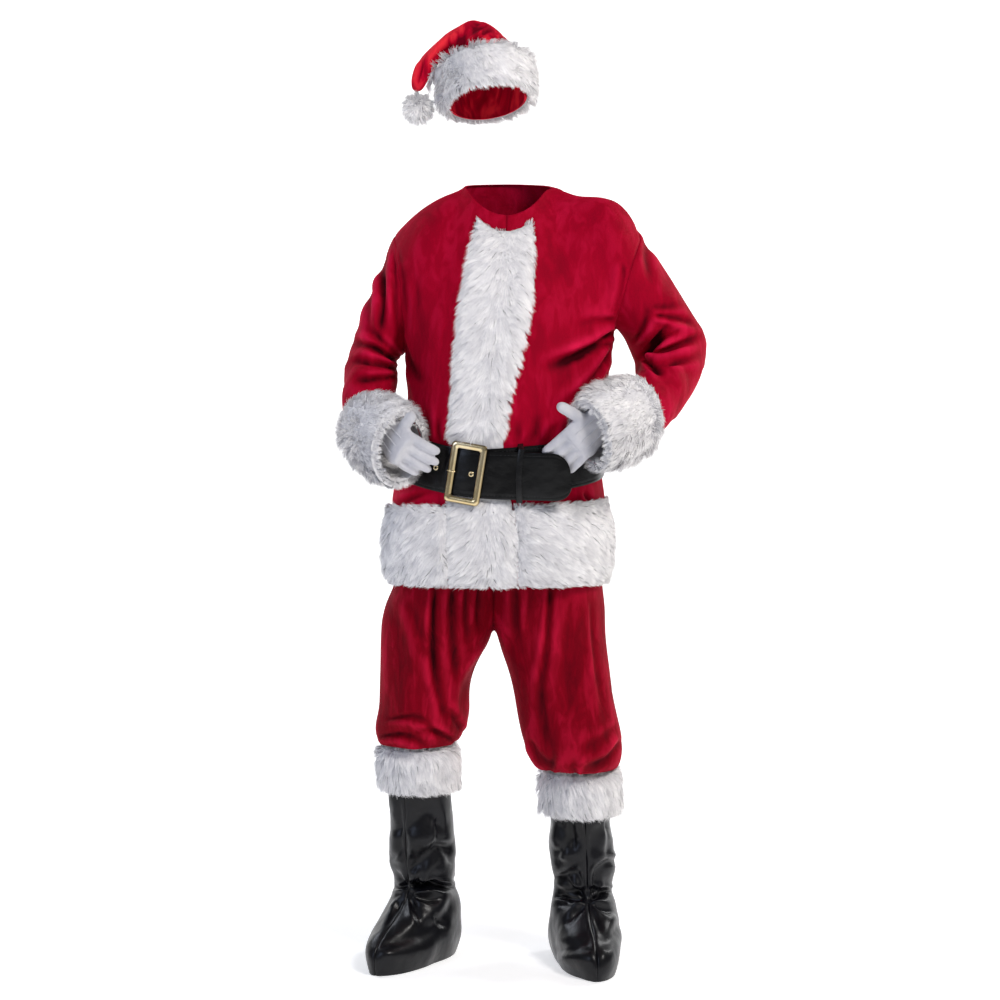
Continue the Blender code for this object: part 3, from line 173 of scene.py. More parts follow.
def dressed(name, mesh, material, node):
    """A piece of the suit, seen in the place of a solid."""
    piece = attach(new_object(name, mesh, material), "root")
    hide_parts(node)
    return piece


def set_all(thing, **settings):
    for key, value in settings.items():
        setattr(thing, key, value)


def modified(obj, kind, **settings):
    """Adds a modifier to an object."""
    set_all(obj.modifiers.new(kind, kind), **settings)


def apply_modifiers(obj):
    bpy.context.view_layer.update()
    evaluated = obj.evaluated_get(bpy.context.evaluated_depsgraph_get())
    mesh = bpy.data.meshes.new_from_object(evaluated)
    old = obj.data
    obj.modifiers.clear()
    obj.data = mesh
    mesh.name = obj.name
    bpy.data.meshes.remove(old)


def vertex_arrays(mesh):
    """The places and normals of a mesh's vertices."""
    places = np.zeros(len(mesh.vertices) * 3)
    mesh.vertices.foreach_get("co", places)
    normals = np.zeros(len(mesh.vertices) * 3)
    mesh.vertex_normals.foreach_get("vector", normals)
    return places.reshape(-1, 3), normals.reshape(-1, 3)


def ease(t):
    t = np.clip(t, 0, 1)
    return t * t * (3 - 2 * t)


def unit(vectors, least=0.0):
    return vectors / (np.linalg.norm(vectors, axis=-1, keepdims=True) + least)


def table(columns, *rows):
    """Rows with named columns."""
    row_type = namedtuple("Row", columns)
    return tuple(row_type(*row) for row in rows)


def creases(*rows):
    """A table of creases from rows in millimetres."""
    return table("x0 z0 x1 z1 bow width depth", *([value / 1000 for value in row] for row in rows))


def creased(rows, x, z):
    """Depth of a table of creases at places seen from the front or the back. A crease runs from its pinched start
    to its open end; a depth below 0 is a trough with a ridge beside it."""
    depth = np.zeros(len(x))
    for row in rows:
        dx, dz = row.x1 - row.x0, row.z1 - row.z0
        length = math.hypot(dx, dz)
        along = ((x - row.x0) * dx + (z - row.z0) * dz) / length**2
        aside = ((x - row.x0) * dz - (z - row.z0) * dx) / length - row.bow * np.sin(np.pi * np.clip(along, 0, 1))
        width = row.width * (0.7 + 0.7 * np.clip(along, 0, 1))
        strength = ease((along + 0.12) / 0.24) * ease((1.12 - along) / 0.55)
        trough = np.exp(-((aside / width) ** 2))
        ridge = np.exp(-(((aside - 1.8 * width) / (1.2 * width)) ** 2))
        depth += row.depth * strength * (trough - 0.6 * ridge)
    return depth


def seen(places):
    """Where places appear from the front, measured in the plane of the suit's middle."""
    near = VIEW_DISTANCE / (VIEW_DISTANCE + places[:, 1])
    return places[:, 0] * near, VIEW_HEIGHT + (places[:, 2] - VIEW_HEIGHT) * near


def crumple(places, size, stretch, height):
    """Small uneven folds, longer along Z by a stretch."""
    scale = Vector((1 / size, 1 / size, 1 / size / stretch))
    return np.array([noise.noise(Vector(place) * scale) for place in places]) * height


def solids_tree(nodes):
    """A search tree over the faces of some solids."""
    places, faces = [], []
    for node in nodes:
        faces += [[index + len(places) for index in face.vertices] for face in solid(node).polygons]
        places += [vertex.co.copy() for vertex in solid(node).vertices]
    return BVHTree.FromPolygons(places, faces)


def clearance(nodes, reach, places):
    """0 for places on some solids, and 1 for those at a reach from them or more."""
    tree = solids_tree(nodes)
    away = np.ones(len(places))
    for number, place in enumerate(places):
        distance = tree.find_nearest(Vector(place), reach)[3]
        if distance is not None:
            away[number] = distance / reach
    return ease(away)


def points_tree(numbered):
    """A search tree over numbered points."""
    tree = kdtree.KDTree(len(numbered))
    for number, place in numbered:
        tree.insert(place, number)
    tree.balance()
    return tree


def sew(whole, reach):
    """Joins edge points of different pieces: those very near each other, and pairs that are each other's nearest."""
    rim = [vertex for vertex in whole.verts if vertex.is_boundary]
    owner = [vertex.link_faces[0].material_index for vertex in rim]
    trees = {
        number: points_tree([(index, rim[index].co) for index, own in enumerate(owner) if own == number])
        for number in set(owner)
    }
    nearest = []
    for index, vertex in enumerate(rim):
        found = [tree.find(vertex.co) for number, tree in trees.items() if number != owner[index]]
        nearest.append(min(found, key=lambda one: one[2])[1:] if found else (index, 1.0))
    group = list(range(len(rim)))
    for index, (other, distance) in enumerate(nearest):
        if distance < SEAM_REACH or (distance < reach and nearest[other][0] == index):
            joined, left = group[other], group[index]
            group = [joined if member == left else member for member in group]
    targets = {}
    for member in set(group):
        same = [vertex for vertex, own in zip(rim, group) if own == member]
        middle = sum((vertex.co for vertex in same), Vector()) / len(same)
        for vertex in same:
            vertex.co = middle
            if vertex is not same[0]:
                targets[vertex] = same[0]
    bmesh.ops.weld_verts(whole, targetmap=targets)


def sheets_sewn_together(nodes, levels, reach):
    """The outer faces of some solids of cloth in one smooth mesh, joined where they are sewn. A face's material
    index says which solid it is from."""
    whole = bmesh.new()
    for number, node in enumerate(nodes):
        part = outer_sheet(node)
        for face in part.faces:
            face.material_index = number
        loose = mesh_of(part, node, smoothed=False)
        whole.from_mesh(loose)
        bpy.data.meshes.remove(loose)
    sew(whole, reach)
    old = set(whole.faces)
    bmesh.ops.holes_fill(whole, edges=[edge for edge in whole.edges if edge.is_boundary], sides=SMALL_HOLE)
    for face in set(whole.faces) - old:
        beside = [other for edge in face.edges for other in edge.link_faces if other in old]
        face.material_index = beside[0].material_index
    bmesh.ops.delete(whole, geom=[vertex for vertex in whole.verts if not vertex.link_faces], context="VERTS")
    bmesh.ops.recalc_face_normals(whole, faces=whole.faces)
    mesh = mesh_of(whole, "sewn", smoothed=False)
    for _ in nodes:
        mesh.materials.append(None)
    joined = bpy.data.objects.new("sewn", mesh)
    bpy.context.scene.collection.objects.link(joined)
    modified(joined, "SUBSURF", levels=levels, render_levels=levels, boundary_smooth="PRESERVE_CORNERS")
    apply_modifiers(joined)
    mesh = joined.data
    bpy.data.objects.remove(joined)
    return mesh


def owners_and_seams(mesh):
    """The solid that each point of a sewn mesh is from, and its distance from the nearest seam."""
    shape = shape_of(mesh)
    owner = np.array([vertex.link_faces[0].material_index for vertex in shape.verts])
    seam = [v.co.copy() for v in shape.verts if len({face.material_index for face in v.link_faces}) > 1]
    shape.free()
    if not seam:
        return owner, np.ones(len(owner))
    tree = points_tree(list(enumerate(seam)))
    return owner, np.array([tree.find(vertex.co)[2] for vertex in mesh.vertices])


def first_corners(face):
    """A number to sort faces by, from their corners. Blender makes the faces of a turned edge in no fixed order."""
    corners = sorted(vertex.index for vertex in face.verts)[:3]
    return sum(index * CORNER_BASE**place for place, index in enumerate(corners))


Folds = namedtuple("Folds", "front back small pressed_by")


def sewn_cloth(nodes, material, finish, levels=SUBDIVISIONS, groove=SEAM_GROOVE, reach=SEAM_REACH):
    """A sheet for each solid of cloth in a group that is sewn together, with its creases, small folds, sunken
    seams and turned edges. The table of nodes gives the folds of each."""
    mesh = sheets_sewn_together(list(nodes), levels, reach)
    owner, from_seam = owners_and_seams(mesh)
    places, normals = vertex_arrays(mesh)
    x, z = seen(places)
    on_front = ease((FRONT_TO_BACK - normals[:, 1]) / (2 * FRONT_TO_BACK))
    fold = np.zeros(len(places))
    small = np.zeros(len(places))
    for number, folds in enumerate(nodes.values()):
        mine = owner == number
        fold[mine] = (creased(folds.front, x, z) * on_front)[mine]
        fold[mine] += (creased(folds.back, places[:, 0], places[:, 2]) * (1 - on_front))[mine]
        small[mine] = crumple(places[mine], *folds.small)
        if folds.pressed_by:
            free = clearance(folds.pressed_by, PRESS_REACH, places[mine])
            fold[mine] *= free
            small[mine] *= free
    sunken = groove * np.exp(-((from_seam / SEAM_GROOVE_WIDTH) ** 2))
    depth = (fold + small) * ease(from_seam / SEAM_CALM) - sunken
    places += normals * depth[:, None]
    mesh.vertices.foreach_set("co", places.ravel())
    # painted shade and highlight: how deep folds and seams push the cloth in darkens its colour, and ridges lighten it
    shade = mesh.attributes.new("fold", "FLOAT", "POINT")
    shade.data.foreach_set("value", depth / FOLD_SHADE_FULL)
    mesh.update()

    pieces = {}
    for number, node in enumerate(nodes):
        cut = shape_of(mesh)
        others = [face for face in cut.faces if face.material_index != number]
        bmesh.ops.delete(cut, geom=others, context="FACES")
        for face in cut.faces:
            face.material_index = 0
        edge_of_cloth = [edge for edge in cut.edges if edge.is_boundary]
        rim = {vertex for edge in edge_of_cloth for vertex in edge.verts}
        made = bmesh.ops.extrude_edge_only(cut, edges=edge_of_cloth)["geom"]
        turned = [element for element in made if isinstance(element, bmesh.types.BMVert)]
        for vertex in turned:
            origin = next(end for edge in vertex.link_edges for end in edge.verts if end in rim)
            vertex.co = origin.co - origin.normal * SEAM_ALLOWANCE
        cut.verts.index_update()
        cut.faces.sort(key=first_corners)
        pieces[node] = dressed(f"{node}_{finish}", mesh_of(cut, node), material, node)
    bpy.data.meshes.remove(mesh)
    return pieces


def feed(material, node, inputs):
    """Sets inputs of a node to values, or links them to what other nodes put out."""
    for key, value in inputs.items():
        if isinstance(value, bpy.types.NodeSocket):
            material.node_tree.links.new(value, node.inputs[key])
        else:
            node.inputs[key].default_value = value


def add_node(material, kind, output, inputs, **settings):
    """What a new node puts out."""
    node = material.node_tree.nodes.new(f"ShaderNode{kind}")
    set_all(node, **settings)
    feed(material, node, inputs)
    return node.outputs[output]


def own_place(material):
    return add_node(material, "TexCoord", "Object", {})


def wandering(material, place, scale, detail, **more):
    """Noise."""
    return add_node(material, "TexNoise", "Fac", {"Vector": place, "Scale": scale, "Detail": detail, **more})


def times_plus(material, value, factor, added):
    return add_node(material, "Math", "Value", {0: value, 1: factor, 2: added}, operation="MULTIPLY_ADD")


def ramp(material, value, *stops):
    """A colour that runs through stops: the first, the last and any between, each a value and a colour."""
    node = material.node_tree.nodes.new("ShaderNodeValToRGB")
    elements = node.color_ramp.elements
    for number, (position, colour) in enumerate(stops):
        stop = elements[number] if number < 2 else elements.new(position)
        stop.position, stop.color = position, (*colour, 1)
    feed(material, node, {"Fac": value})
    return node.outputs["Color"]


def new_material(name, colour, roughness, more=None):
    """A material and its shader, with more of the shader's inputs by their names."""
    material = bpy.data.materials.new(name)
    material.use_nodes = True
    shader = material.node_tree.nodes["Principled BSDF"]
    feed(material, shader, {"Base Color": (*colour, 1), "Roughness": roughness, **(more or {})})
    return material, shader


def mottled(material, shader, low, high, scale, detail=3.0):
    """Colour that wanders between two colours."""
    wander = wandering(material, own_place(material), scale, detail, Roughness=0.6)
    colour = ramp(material, wander, (0.32, low), (0.68, high))
    feed(material, shader, {"Base Color": colour})
    return colour


def bumped(material, shader, *layers):
    """Bumps in layers, the broadest first, each a height, a strength and a distance."""
    under = {}
    for height, strength, distance in layers:
        bump = {"Height": height, "Strength": strength, "Distance": distance, **under}
        under = {"Normal": add_node(material, "Bump", "Normal", bump)}
    feed(material, shader, under)


def velvet(name, pressed, plain, raised, crushed, grain):
    """Short dense pile, with painted shade down in the folds and seams and painted highlights along the fold ridges,
    and brighter where the nap has been stroked or crushed."""
    material, shader = new_material(name, plain, 0.75, {
        "Specular IOR Level": 0.05, "Sheen Weight": 0.30, "Sheen Roughness": 0.35, "Sheen Tint": (1.0, 0.03, 0.09, 1),
    })
    place = own_place(material)
    lengthways = add_node(material, "Mapping", "Vector", {"Vector": place, "Scale": (1, 1, 0.30)})
    nap = times_plus(material, wandering(material, lengthways, 11.0, 6.0, Roughness=0.62), 0.34, 0.35)
    crush = wandering(material, lengthways, grain, 6.0, Distortion=0.7)
    marks = add_node(
        material, "MapRange", "Result",
        {"Value": crush, "From Min": 0.36, "From Max": 0.66, "To Min": -crushed, "To Max": crushed},
        interpolation_type="SMOOTHSTEP",
    )
    lying = add_node(material, "Math", "Value", {0: marks, 1: nap}, operation="ADD")
    fold = add_node(material, "Attribute", "Fac", {}, attribute_name="fold")
    height = times_plus(material, fold, 0.62, lying)
    # the ramp runs from painted shade in the folds, through the plain colour, to a painted highlight on the ridges,
    # shifted by the nap's own tone
    feed(material, shader, {"Base Color": ramp(material, height, (0.05, pressed), (1.0, raised), (0.5, plain))})
    strokes = wandering(material, place, 60.0, 4.0, Distortion=1.2)
    pile = wandering(material, place, 900.0, 1.0)
    bumped(material, shader, (crush, 0.4, 0.08 / grain), (strokes, 0.35, 0.0025), (pile, 0.4, 0.0006))
    return material


# each velvet: painted fold shade with the darkest nap, the plain colour, painted ridge highlight with the brightest
# nap, the strength of the crushed marks and their scale
suit_velvet = velvet("crimson_velvet", (0.045, 0.0, 0.003), (0.360, 0.0, 0.017), (0.76, 0.010, 0.070), 0.065, 46.0)

JACKET_FRONT_CREASES = creases(
    # out of the wearer's left armpit, towards the buckle
    (228, -226, 86, -300, -6, 8.5, -11),
    (222, -250, 125, -290, 4, 7, -6),
    (220, -262, 117, -380, -10, 8, -7),
    (226, -205, 150, -215, 4, 7.5, -4),
    (225, -290, 185, -400, 6, 8, -6),
    # below the left armhole
    (262, -140, 248, -255, 4, 7.5, -6),
    (240, -100, 228, -200, -3, 9, -4),
    # out of the wearer's right armpit and shoulder
    (-205, -60, -190, -240, -4, 8.5, -8),
    (-190, -245, -150, -330, 8, 8.5, -7),
    (-186, -270, -168, -420, 6, 8, -6),
    (-165, -130, -150, -270, 4, 11, -4),
    # gathered above and below the belt
    (-140, -452, -148, -370, 3, 6, -5),
    (-118, -448, -124, -395, -2, 5.5, -4),
    (30, -455, 34, -400, 3, 6, -4),
    (62, -452, 75, -385, 4, 6.5, -5),
    (98, -446, 112, -405, -3, 5.5, -4),
    (172, -428, 185, -350, 4, 6.5, -5),
    (-119, -528, -211, -574, 4, 6.5, -6),
    (-150, -520, -205, -545, -3, 5.5, -4),
    (100, -545, 120, -585, 3, 6, -4),
    (165, -540, 196, -575, 4, 6, -5),
)
JACKET_BACK_CREASES = creases(
    (-185, -215, -70, -290, 8, 9, -9),
    (-190, -240, -120, -345, 6, 8, -7),
    (215, -190, 85, -275, -8, 9, -9),
    (212, -225, 130, -335, 6, 8, -7),
    (-60, -100, -45, -300, 10, 12, -5),
    (70, -110, 60, -320, -8, 12, -5),
    (-150, -405, -165, -320, 4, 7.5, -6),
    (-95, -400, -85, -300, -4, 8, -7),
    (-40, -398, -48, -330, 3, 7, -5),
    (15, -398, 25, -290, 5, 8, -7),
    (75, -400, 70, -325, -3, 7, -5),
    (130, -405, 150, -310, 4, 8, -6),
    (-110, -500, -135, -580, 3, 7.5, -6),
    (-50, -497, -45, -575, -3, 7, -5),
    (20, -495, 12, -580, 4, 7.5, -6),
    (90, -498, 105, -575, 3, 7, -5),
    (150, -503, 170, -580, 4, 7, -5),
)
JACKET_SMALL_FOLDS = (0.055, 3.0, 0.0022)
PRESSES_JACKET = ("belt_strap", "fur_front_band")
JACKET_CUTS = {  # flat width, length and area of each piece
    "jacket_front_right": (0.36, 0.76, 0.24),
    "jacket_front_left": (0.40, 0.76, 0.26),
    "jacket_back": (0.72, 0.78, 0.50),
}


# Sleeves ---------------------------------------------------
# A full velvet tube each, set into the armhole. Both elbows are bent, so the cloth crushes into fans of folds on
# their inner sides and hangs in long folds from the shoulders.

SLEEVE_FRONT_CREASES = creases(
    # wearer's left: fans out of the bend of the elbow
    (278, -276, 332, -205, 3, 6.5, -10),
    (280, -274, 352, -222, -3, 6, -9),
    (282, -272, 396, -232, 5, 6.5, -9),
    (280, -280, 322, -312, 3, 6, -9),
    (304, -196, 386, -216, -4, 6.5, -8),
    (300, -180, 360, -170, 3, 7, -5),
    (330, -290, 390, -272, 3, 6.5, -6),
    (262, -245, 290, -180, 4, 6.5, -7),
    # wearer's left: down from the shoulder
    (285, -30, 300, -140, 4, 9, -6),
    (305, -20, 335, -130, 4, 9, -4),
    # wearer's right: long folds down the upper arm
    (-210, -35, -232, -115, 4, 8, -8),
    (-230, -110, -238, -262, -4, 8, -10),
    (-252, -136, -246, -258, 3, 7, -7),
    (-204, -68, -192, -236, 4, 7.5, -8),
    (-270, -150, -282, -230, 3, 7, -5),
    # wearer's right: the bend of the elbow
    (-196, -288, -292, -244, 6, 6, -9),
    (-200, -300, -296, -282, 4, 6, -8),
    (-205, -315, -290, -318, -3, 6, -7),
    (-196, -276, -262, -215, -4, 6.5, -6),
)
SLEEVE_BACK_CREASES = creases(
    (285, -80, 335, -190, 5, 8.5, -8),
    (260, -110, 300, -230, 4, 8, -7),
    (390, -300, 300, -250, 4, 7, -8),
    (395, -260, 310, -215, -4, 7, -7),
    (330, -400, 250, -350, 3, 7, -6),
    (-225, -90, -250, -220, 5, 8.5, -8),
    (-250, -110, -280, -235, 4, 8, -6),
    (-300, -330, -220, -270, 4, 7, -8),
    (-302, -290, -225, -245, -3, 7, -6),
    (-290, -400, -225, -340, 3, 7, -6),
)
SLEEVE_SMALL_FOLDS = (0.040, 1.6, 0.0025)

upper_body = {
    node: Folds(JACKET_FRONT_CREASES, JACKET_BACK_CREASES, JACKET_SMALL_FOLDS, PRESSES_JACKET)
    for node in JACKET_CUTS
}
for side in SIDES:
    upper_body[f"sleeve_{side}"] = Folds(
        SLEEVE_FRONT_CREASES, SLEEVE_BACK_CREASES, SLEEVE_SMALL_FOLDS, (f"cuff_{side}", f"glove_{side}")
    )
upper_pieces = sewn_cloth(upper_body, suit_velvet, "velvet")


# Trousers --------------------------------------------------
# Four quarters of the same velvet, painted darker than the jacket's as shade where less light reaches the legs, and
# gathered on an elastic casing at the waist under the jacket. The full legs hang in long uneven folds, blouse over the
# fur of the boot covers and are caught inside it.

TROUSER_FRONT_CREASES = creases(
    # wearer's right leg
    (-128, -728, -100, -1010, 16, 6.5, -9),
    (-175, -760, -118, -900, 6, 11, -4),
    (-206, -780, -190, -960, -6, 15, -4),
    (-94, -725, -76, -935, 8, 8, -7),
    (-66, -725, -58, -860, 4, 6, -5),
    (-40, -725, -40, -815, 2, 6, -6),
    (-218, -985, -110, -1028, -22, 7, -6),
    (-235, -1020, -140, -1045, -14, 7, -7),
    (-75, -1010, -118, -960, 6, 7, -6),
    (-90, -1030, -170, -1010, 10, 6.5, -6),
    (-20, -845, -70, -950, 8, 8, -5),
    # wearer's left leg
    (30, -720, 38, -870, 4, 9, -6),
    (60, -720, 52, -840, -3, 7, -4),
    (98, -722, 70, -960, -8, 6.5, -8),
    (140, -760, 150, -1000, 10, 16, -4),
    (178, -764, 210, -1000, 6, 5.5, -4),
    (80, -930, 100, -1060, 6, 11, -4),
    (235, -1030, 165, -1085, -12, 8, -7),
    (225, -1000, 150, -1045, -10, 9, -4),
    (60, -1030, 110, -1085, 10, 8.5, -7),
    (95, -1098, 104, -1050, 3, 6, -4),
    (150, -1100, 146, -1060, -3, 6, -4),
)
TROUSER_BACK_CREASES = creases(
    (-130, -735, -122, -980, 12, 8.5, -10),
    (-172, -740, -190, -950, -6, 8, -7),
    (-88, -740, -98, -940, 6, 8, -7),
    (-52, -735, -62, -900, 4, 7.5, -7),
    (-12, -730, -12, -840, 0, 6, -10),
    (45, -735, 60, -900, 4, 7.5, -7),
    (85, -740, 98, -960, -8, 8.5, -10),
    (130, -735, 142, -980, 6, 8, -8),
    (170, -745, 190, -960, 6, 8, -6),
    (-205, -900, -130, -960, 6, 8, -8),
    (215, -930, 120, -990, 6, 8, -8),
    (-150, -1045, -140, -980, 3, 6, -6),
    (-190, -1040, -188, -980, 3, 6, -5),
    (120, -1095, 130, -1030, 3, 6, -6),
    (170, -1095, 175, -1030, 3, 6, -5),
)
TROUSER_SMALL_FOLDS = (0.045, 3.0, 0.0030)

JACKET_CLOTH = ("jacket_front_right", "jacket_front_left", "jacket_back")

legs = {
    f"trouser_{face}_{side}": Folds(
        TROUSER_FRONT_CREASES, TROUSER_BACK_CREASES, TROUSER_SMALL_FOLDS, (*JACKET_CLOTH, f"fur_boot_{side}")
    )
    for side in SIDES
    for face in ("front", "back")
}
# the jacket's velvet painted darker all over: painted shade where less light reaches the legs
trouser_velvet = velvet(
    "deep_crimson_velvet", (0.032, 0.0, 0.002), (0.215, 0.0, 0.008), (0.60, 0.008, 0.045), 0.085, 52.0
)

for quarter in sewn_cloth(legs, trouser_velvet, "velvet", groove=0.0025, reach=0.026).values():
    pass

elastic_casing = {"trouser_waistband": Folds((), (), (0.02, 1.0, 0.0004), ())}
waistband = sewn_cloth(elastic_casing, trouser_velvet, "velvet", levels=2)["trouser_waistband"]


# Boot covers -----------------------------------------------
# Two halves each of thin black imitation leather, joined by a front and a back seam. They slump at the ankle,
# where they are pinched in, and spread over the shoe.

VINYL_CREASES = creases(
    # broad dents in the shafts and over the feet
    (-215, -1205, -118, -1150, 10, 17, -6),
    (-95, -1235, -200, -1300, 10, 15, -6),
    (-240, -1435, -130, -1385, 12, 15, -6),
    (-95, -1350, -165, -1425, -10, 13, -6),
    (108, -1190, 215, -1250, 12, 17, -6),
    (240, -1170, 150, -1225, -10, 15, -5),
    (110, -1445, 205, -1400, 10, 15, -6),
    (240, -1385, 180, -1445, -10, 13, -5),
    # wearer's right: the fold round the ankle, and dents in the shaft
    (-205, -1318, -85, -1322, -6, 6, -12),
    (-85, -1318, -205, -1318, 4, 6, -8),
    (-178, -1285, -140, -1245, 6, 10, -7),
    (-212, -1262, -182, -1215, 4, 8, -5),
    (-92, -1270, -130, -1225, 6, 10, -6),
    (-120, -1200, -158, -1160, 6, 11, -4),
    # out of the pinch
    (-176, -1330, -210, -1285, 2, 5, -7),
    (-176, -1330, -150, -1272, 3, 5, -7),
    (-176, -1330, -118, -1298, 3, 5, -8),
    (-176, -1332, -120, -1345, 3, 5, -6),
    (-176, -1335, -150, -1400, 3, 5.5, -7),
    (-178, -1335, -205, -1372, 3, 5, -7),
    (-200, -1350, -222, -1420, 3, 5.5, -6),
    (-130, -1372, -100, -1400, 2, 5, -5),
    (-196, -1160, -186, -1270, 4, 7, -5),
    (-120, -1180, -135, -1260, -3, 7, -5),
    # wearer's left: the fold round the ankle, and dents in the shaft
    (116, -1338, 232, -1330, 6, 6, -11),
    (232, -1326, 116, -1334, 4, 6, -8),
    (108, -1300, 172, -1268, 8, 10, -7),
    (236, -1262, 180, -1300, 6, 9, -7),
    (112, -1252, 150, -1205, 6, 11, -5),
    (228, -1215, 190, -1165, 6, 11, -4),
    # out of the pinch
    (174, -1345, 120, -1300, 3, 5, -8),
    (174, -1345, 145, -1280, 3, 5, -6),
    (174, -1345, 190, -1285, 3, 5, -7),
    (174, -1345, 226, -1315, 3, 5, -7),
    (174, -1348, 112, -1352, 3, 5, -7),
    (174, -1348, 130, -1395, 3, 5.5, -7),
    (176, -1348, 232, -1372, 3, 5.5, -7),
    (176, -1350, 205, -1420, 3, 5.5, -6),
    (140, -1180, 150, -1270, 4, 7, -5),
    (215, -1190, 208, -1275, -4, 7, -5),
)
VINYL_BACK_CREASES = creases(
    (-95, -1322, -200, -1330, 5, 6, -8),
    (-150, -1328, -192, -1275, 4, 6.5, -5),
    (-145, -1325, -108, -1255, 6, 7, -4),
    (-155, -1332, -188, -1400, 4, 6.5, -5),
    (-205, -1240, -130, -1190, 8, 13, -5),
    (118, -1330, 222, -1326, -5, 6, -8),
    (170, -1330, 208, -1265, 4, 6.5, -5),
    (168, -1334, 128, -1392, 5, 7, -5),
    (160, -1328, 134, -1285, 3, 5.5, -3),
    (120, -1225, 205, -1180, -8, 13, -5),
)
VINYL_SMALL_FOLDS = (0.048, 1.2, 0.0042)


def imitation_leather(name, colour, roughness, grain, ripple):
    """Glossy coated cloth with a fine pressed grain."""
    coat = {"Specular IOR Level": 0.26, "Coat Weight": 0.05, "Coat Roughness": 0.20}
    material, shader = new_material(name, colour, roughness, coat)
    mottled(material, shader, [0.6 * c for c in colour], [1.5 * c for c in colour], 14.0)
    place = own_place(material)
    cells = add_node(material, "TexVoronoi", "Distance", {"Vector": place, "Scale": 650.0}, feature="DISTANCE_TO_EDGE")
    slack, waves = wandering(material, place, 14.0, 2.0), wandering(material, place, 45.0, 5.0)
    bumped(material, shader, (slack, 0.6, ripple), (waves, 0.5, 0.0018), (cells, grain, 0.0004))
    return material


boot_vinyl = imitation_leather("boot_vinyl", (0.003, 0.003, 0.0045), 0.33, 0.12, 0.010)

for side in SIDES:
    cover = {
        f"boot_{half}_{side}": Folds(VINYL_CREASES, VINYL_BACK_CREASES, VINYL_SMALL_FOLDS, (f"fur_boot_{side}",))
        for half in ("outer", "inner")
    }
    for half in sewn_cloth(cover, boot_vinyl, "vinyl").values():
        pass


# Hat crown -------------------------------------------------
# Two tapered pieces of a brighter, thinner velvet. The crown stands up from the brim, folds over at its peak and
# drops its tip beside the wearer's right ear.

HAT_FRONT_CREASES = creases(
    (-38, 368, -128, 262, 16, 6.5, -9),
    (-30, 362, -90, 300, 10, 5.5, -6),
    (-20, 355, -60, 318, 6, 5, -5),
    (-92, 330, -146, 268, 6, 5.5, -6),
    (-150, 290, -160, 240, 3, 4.5, -6),
    (5, 345, -4, 318, 2, 4.5, -4),
)
HAT_BACK_CREASES = creases(
    (-30, 362, -110, 270, 12, 6.5, -8),
    (-10, 350, -50, 270, 6, 6, -6),
    (15, 330, 5, 265, 3, 6, -5),
    (-120, 310, -150, 250, 4, 5.5, -6),
)
HAT_SMALL_FOLDS = (0.022, 1.2, 0.0016)

# painted fold shade and ridge highlight as for the suit, on a brighter velvet
hat_velvet = velvet("scarlet_velvet", (0.15, 0.0, 0.009), (0.50, 0.001, 0.022), (0.92, 0.030, 0.050), 0.28, 40.0)

crown = {
    f"hat_crown_{face}": Folds(
        HAT_FRONT_CREASES, HAT_BACK_CREASES, HAT_SMALL_FOLDS, ("fur_hat_brim", "fur_pompom")
    )
    for face in ("front", "back")
}
for half in sewn_cloth(crown, hat_velvet, "velvet").values():
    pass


# Gloves ----------------------------------------------------
# Plain white cotton knit, cut with a thumb and four fingers and closed by fine seams. Three raised lines are
# stitched on the back of each hand, and the wrist runs up inside the fur cuff.

HANDS = dict(zip(SIDES, table(
    "wrist_x wrist_y wrist_z knuckle_x knuckle_y knuckle_z lean",
    (-0.2210, -0.1440, -0.4048, -0.1825, -0.2025, -0.4508, -0.60),
    (0.2040, -0.1780, -0.3840, 0.1420, -0.1975, -0.4435, 0.45),
)))
THUMB_SIDE = {"right": 1, "left": -1}
PALM = table(
    "along width thickness",
    (-0.004, 0.060, 0.042), (0.024, 0.062, 0.038), (0.056, 0.072, 0.032), (0.084, 0.074, 0.027), (0.094, 0.062, 0.019),
)
DIGITS = table(  # four fingers, the right thumb and the left thumb
    "along across length radius fan bend curl",
    (0.080, 0.0283, 0.072, 0.0092, 3, 0, 0),
    (0.080, 0.0096, 0.082, 0.0094, 1, 0, 0),
    (0.080, -0.0094, 0.076, 0.0092, -1, 0, 0),
    (0.078, -0.0274, 0.060, 0.0084, -3, 0, 0),
    (0.058, 0.0180, 0.056, 0.0115, 75, -20, -6),
    (0.045, 0.0200, 0.070, 0.0115, 69, -12, -4),
)
THUMBS = dict(zip(SIDES, DIGITS[4:]))
FINGER_POSES = dict(zip(SIDES, table("bend curl fan", (46, 74, -12), (22, 36, -10))))
DIGIT_STATIONS = (0.0, 0.55, 0.86, 0.97)  # shares of a digit's length at which its direction is set
DIGIT_SIZES = (  # share of the length and of the radius, with fuller joints
    (0.0, 1.0), (0.22, 1.00), (0.34, 0.95), (0.50, 1.00), (0.62, 0.93), (0.74, 0.95), (0.86, 0.87), (0.93, 0.70),
    (0.975, 0.42),
)
GLOVE_MESH, GLOVE_THICKNESS = 0.0023, 0.0008
BACK_LINES = (0.019, 0.001, -0.017)  # across the hand
BACK_LINE_RADIUS = 0.0013
BACK_LINE_START, BACK_LINE_END = 0.018, 0.080  # along the hand, which narrows by a quarter towards the wrist
TUBE_RINGS, DIGIT_SIDES = 22, 20
GLOVE_SMALL_FOLDS = (0.009, 1.0, 0.0005)


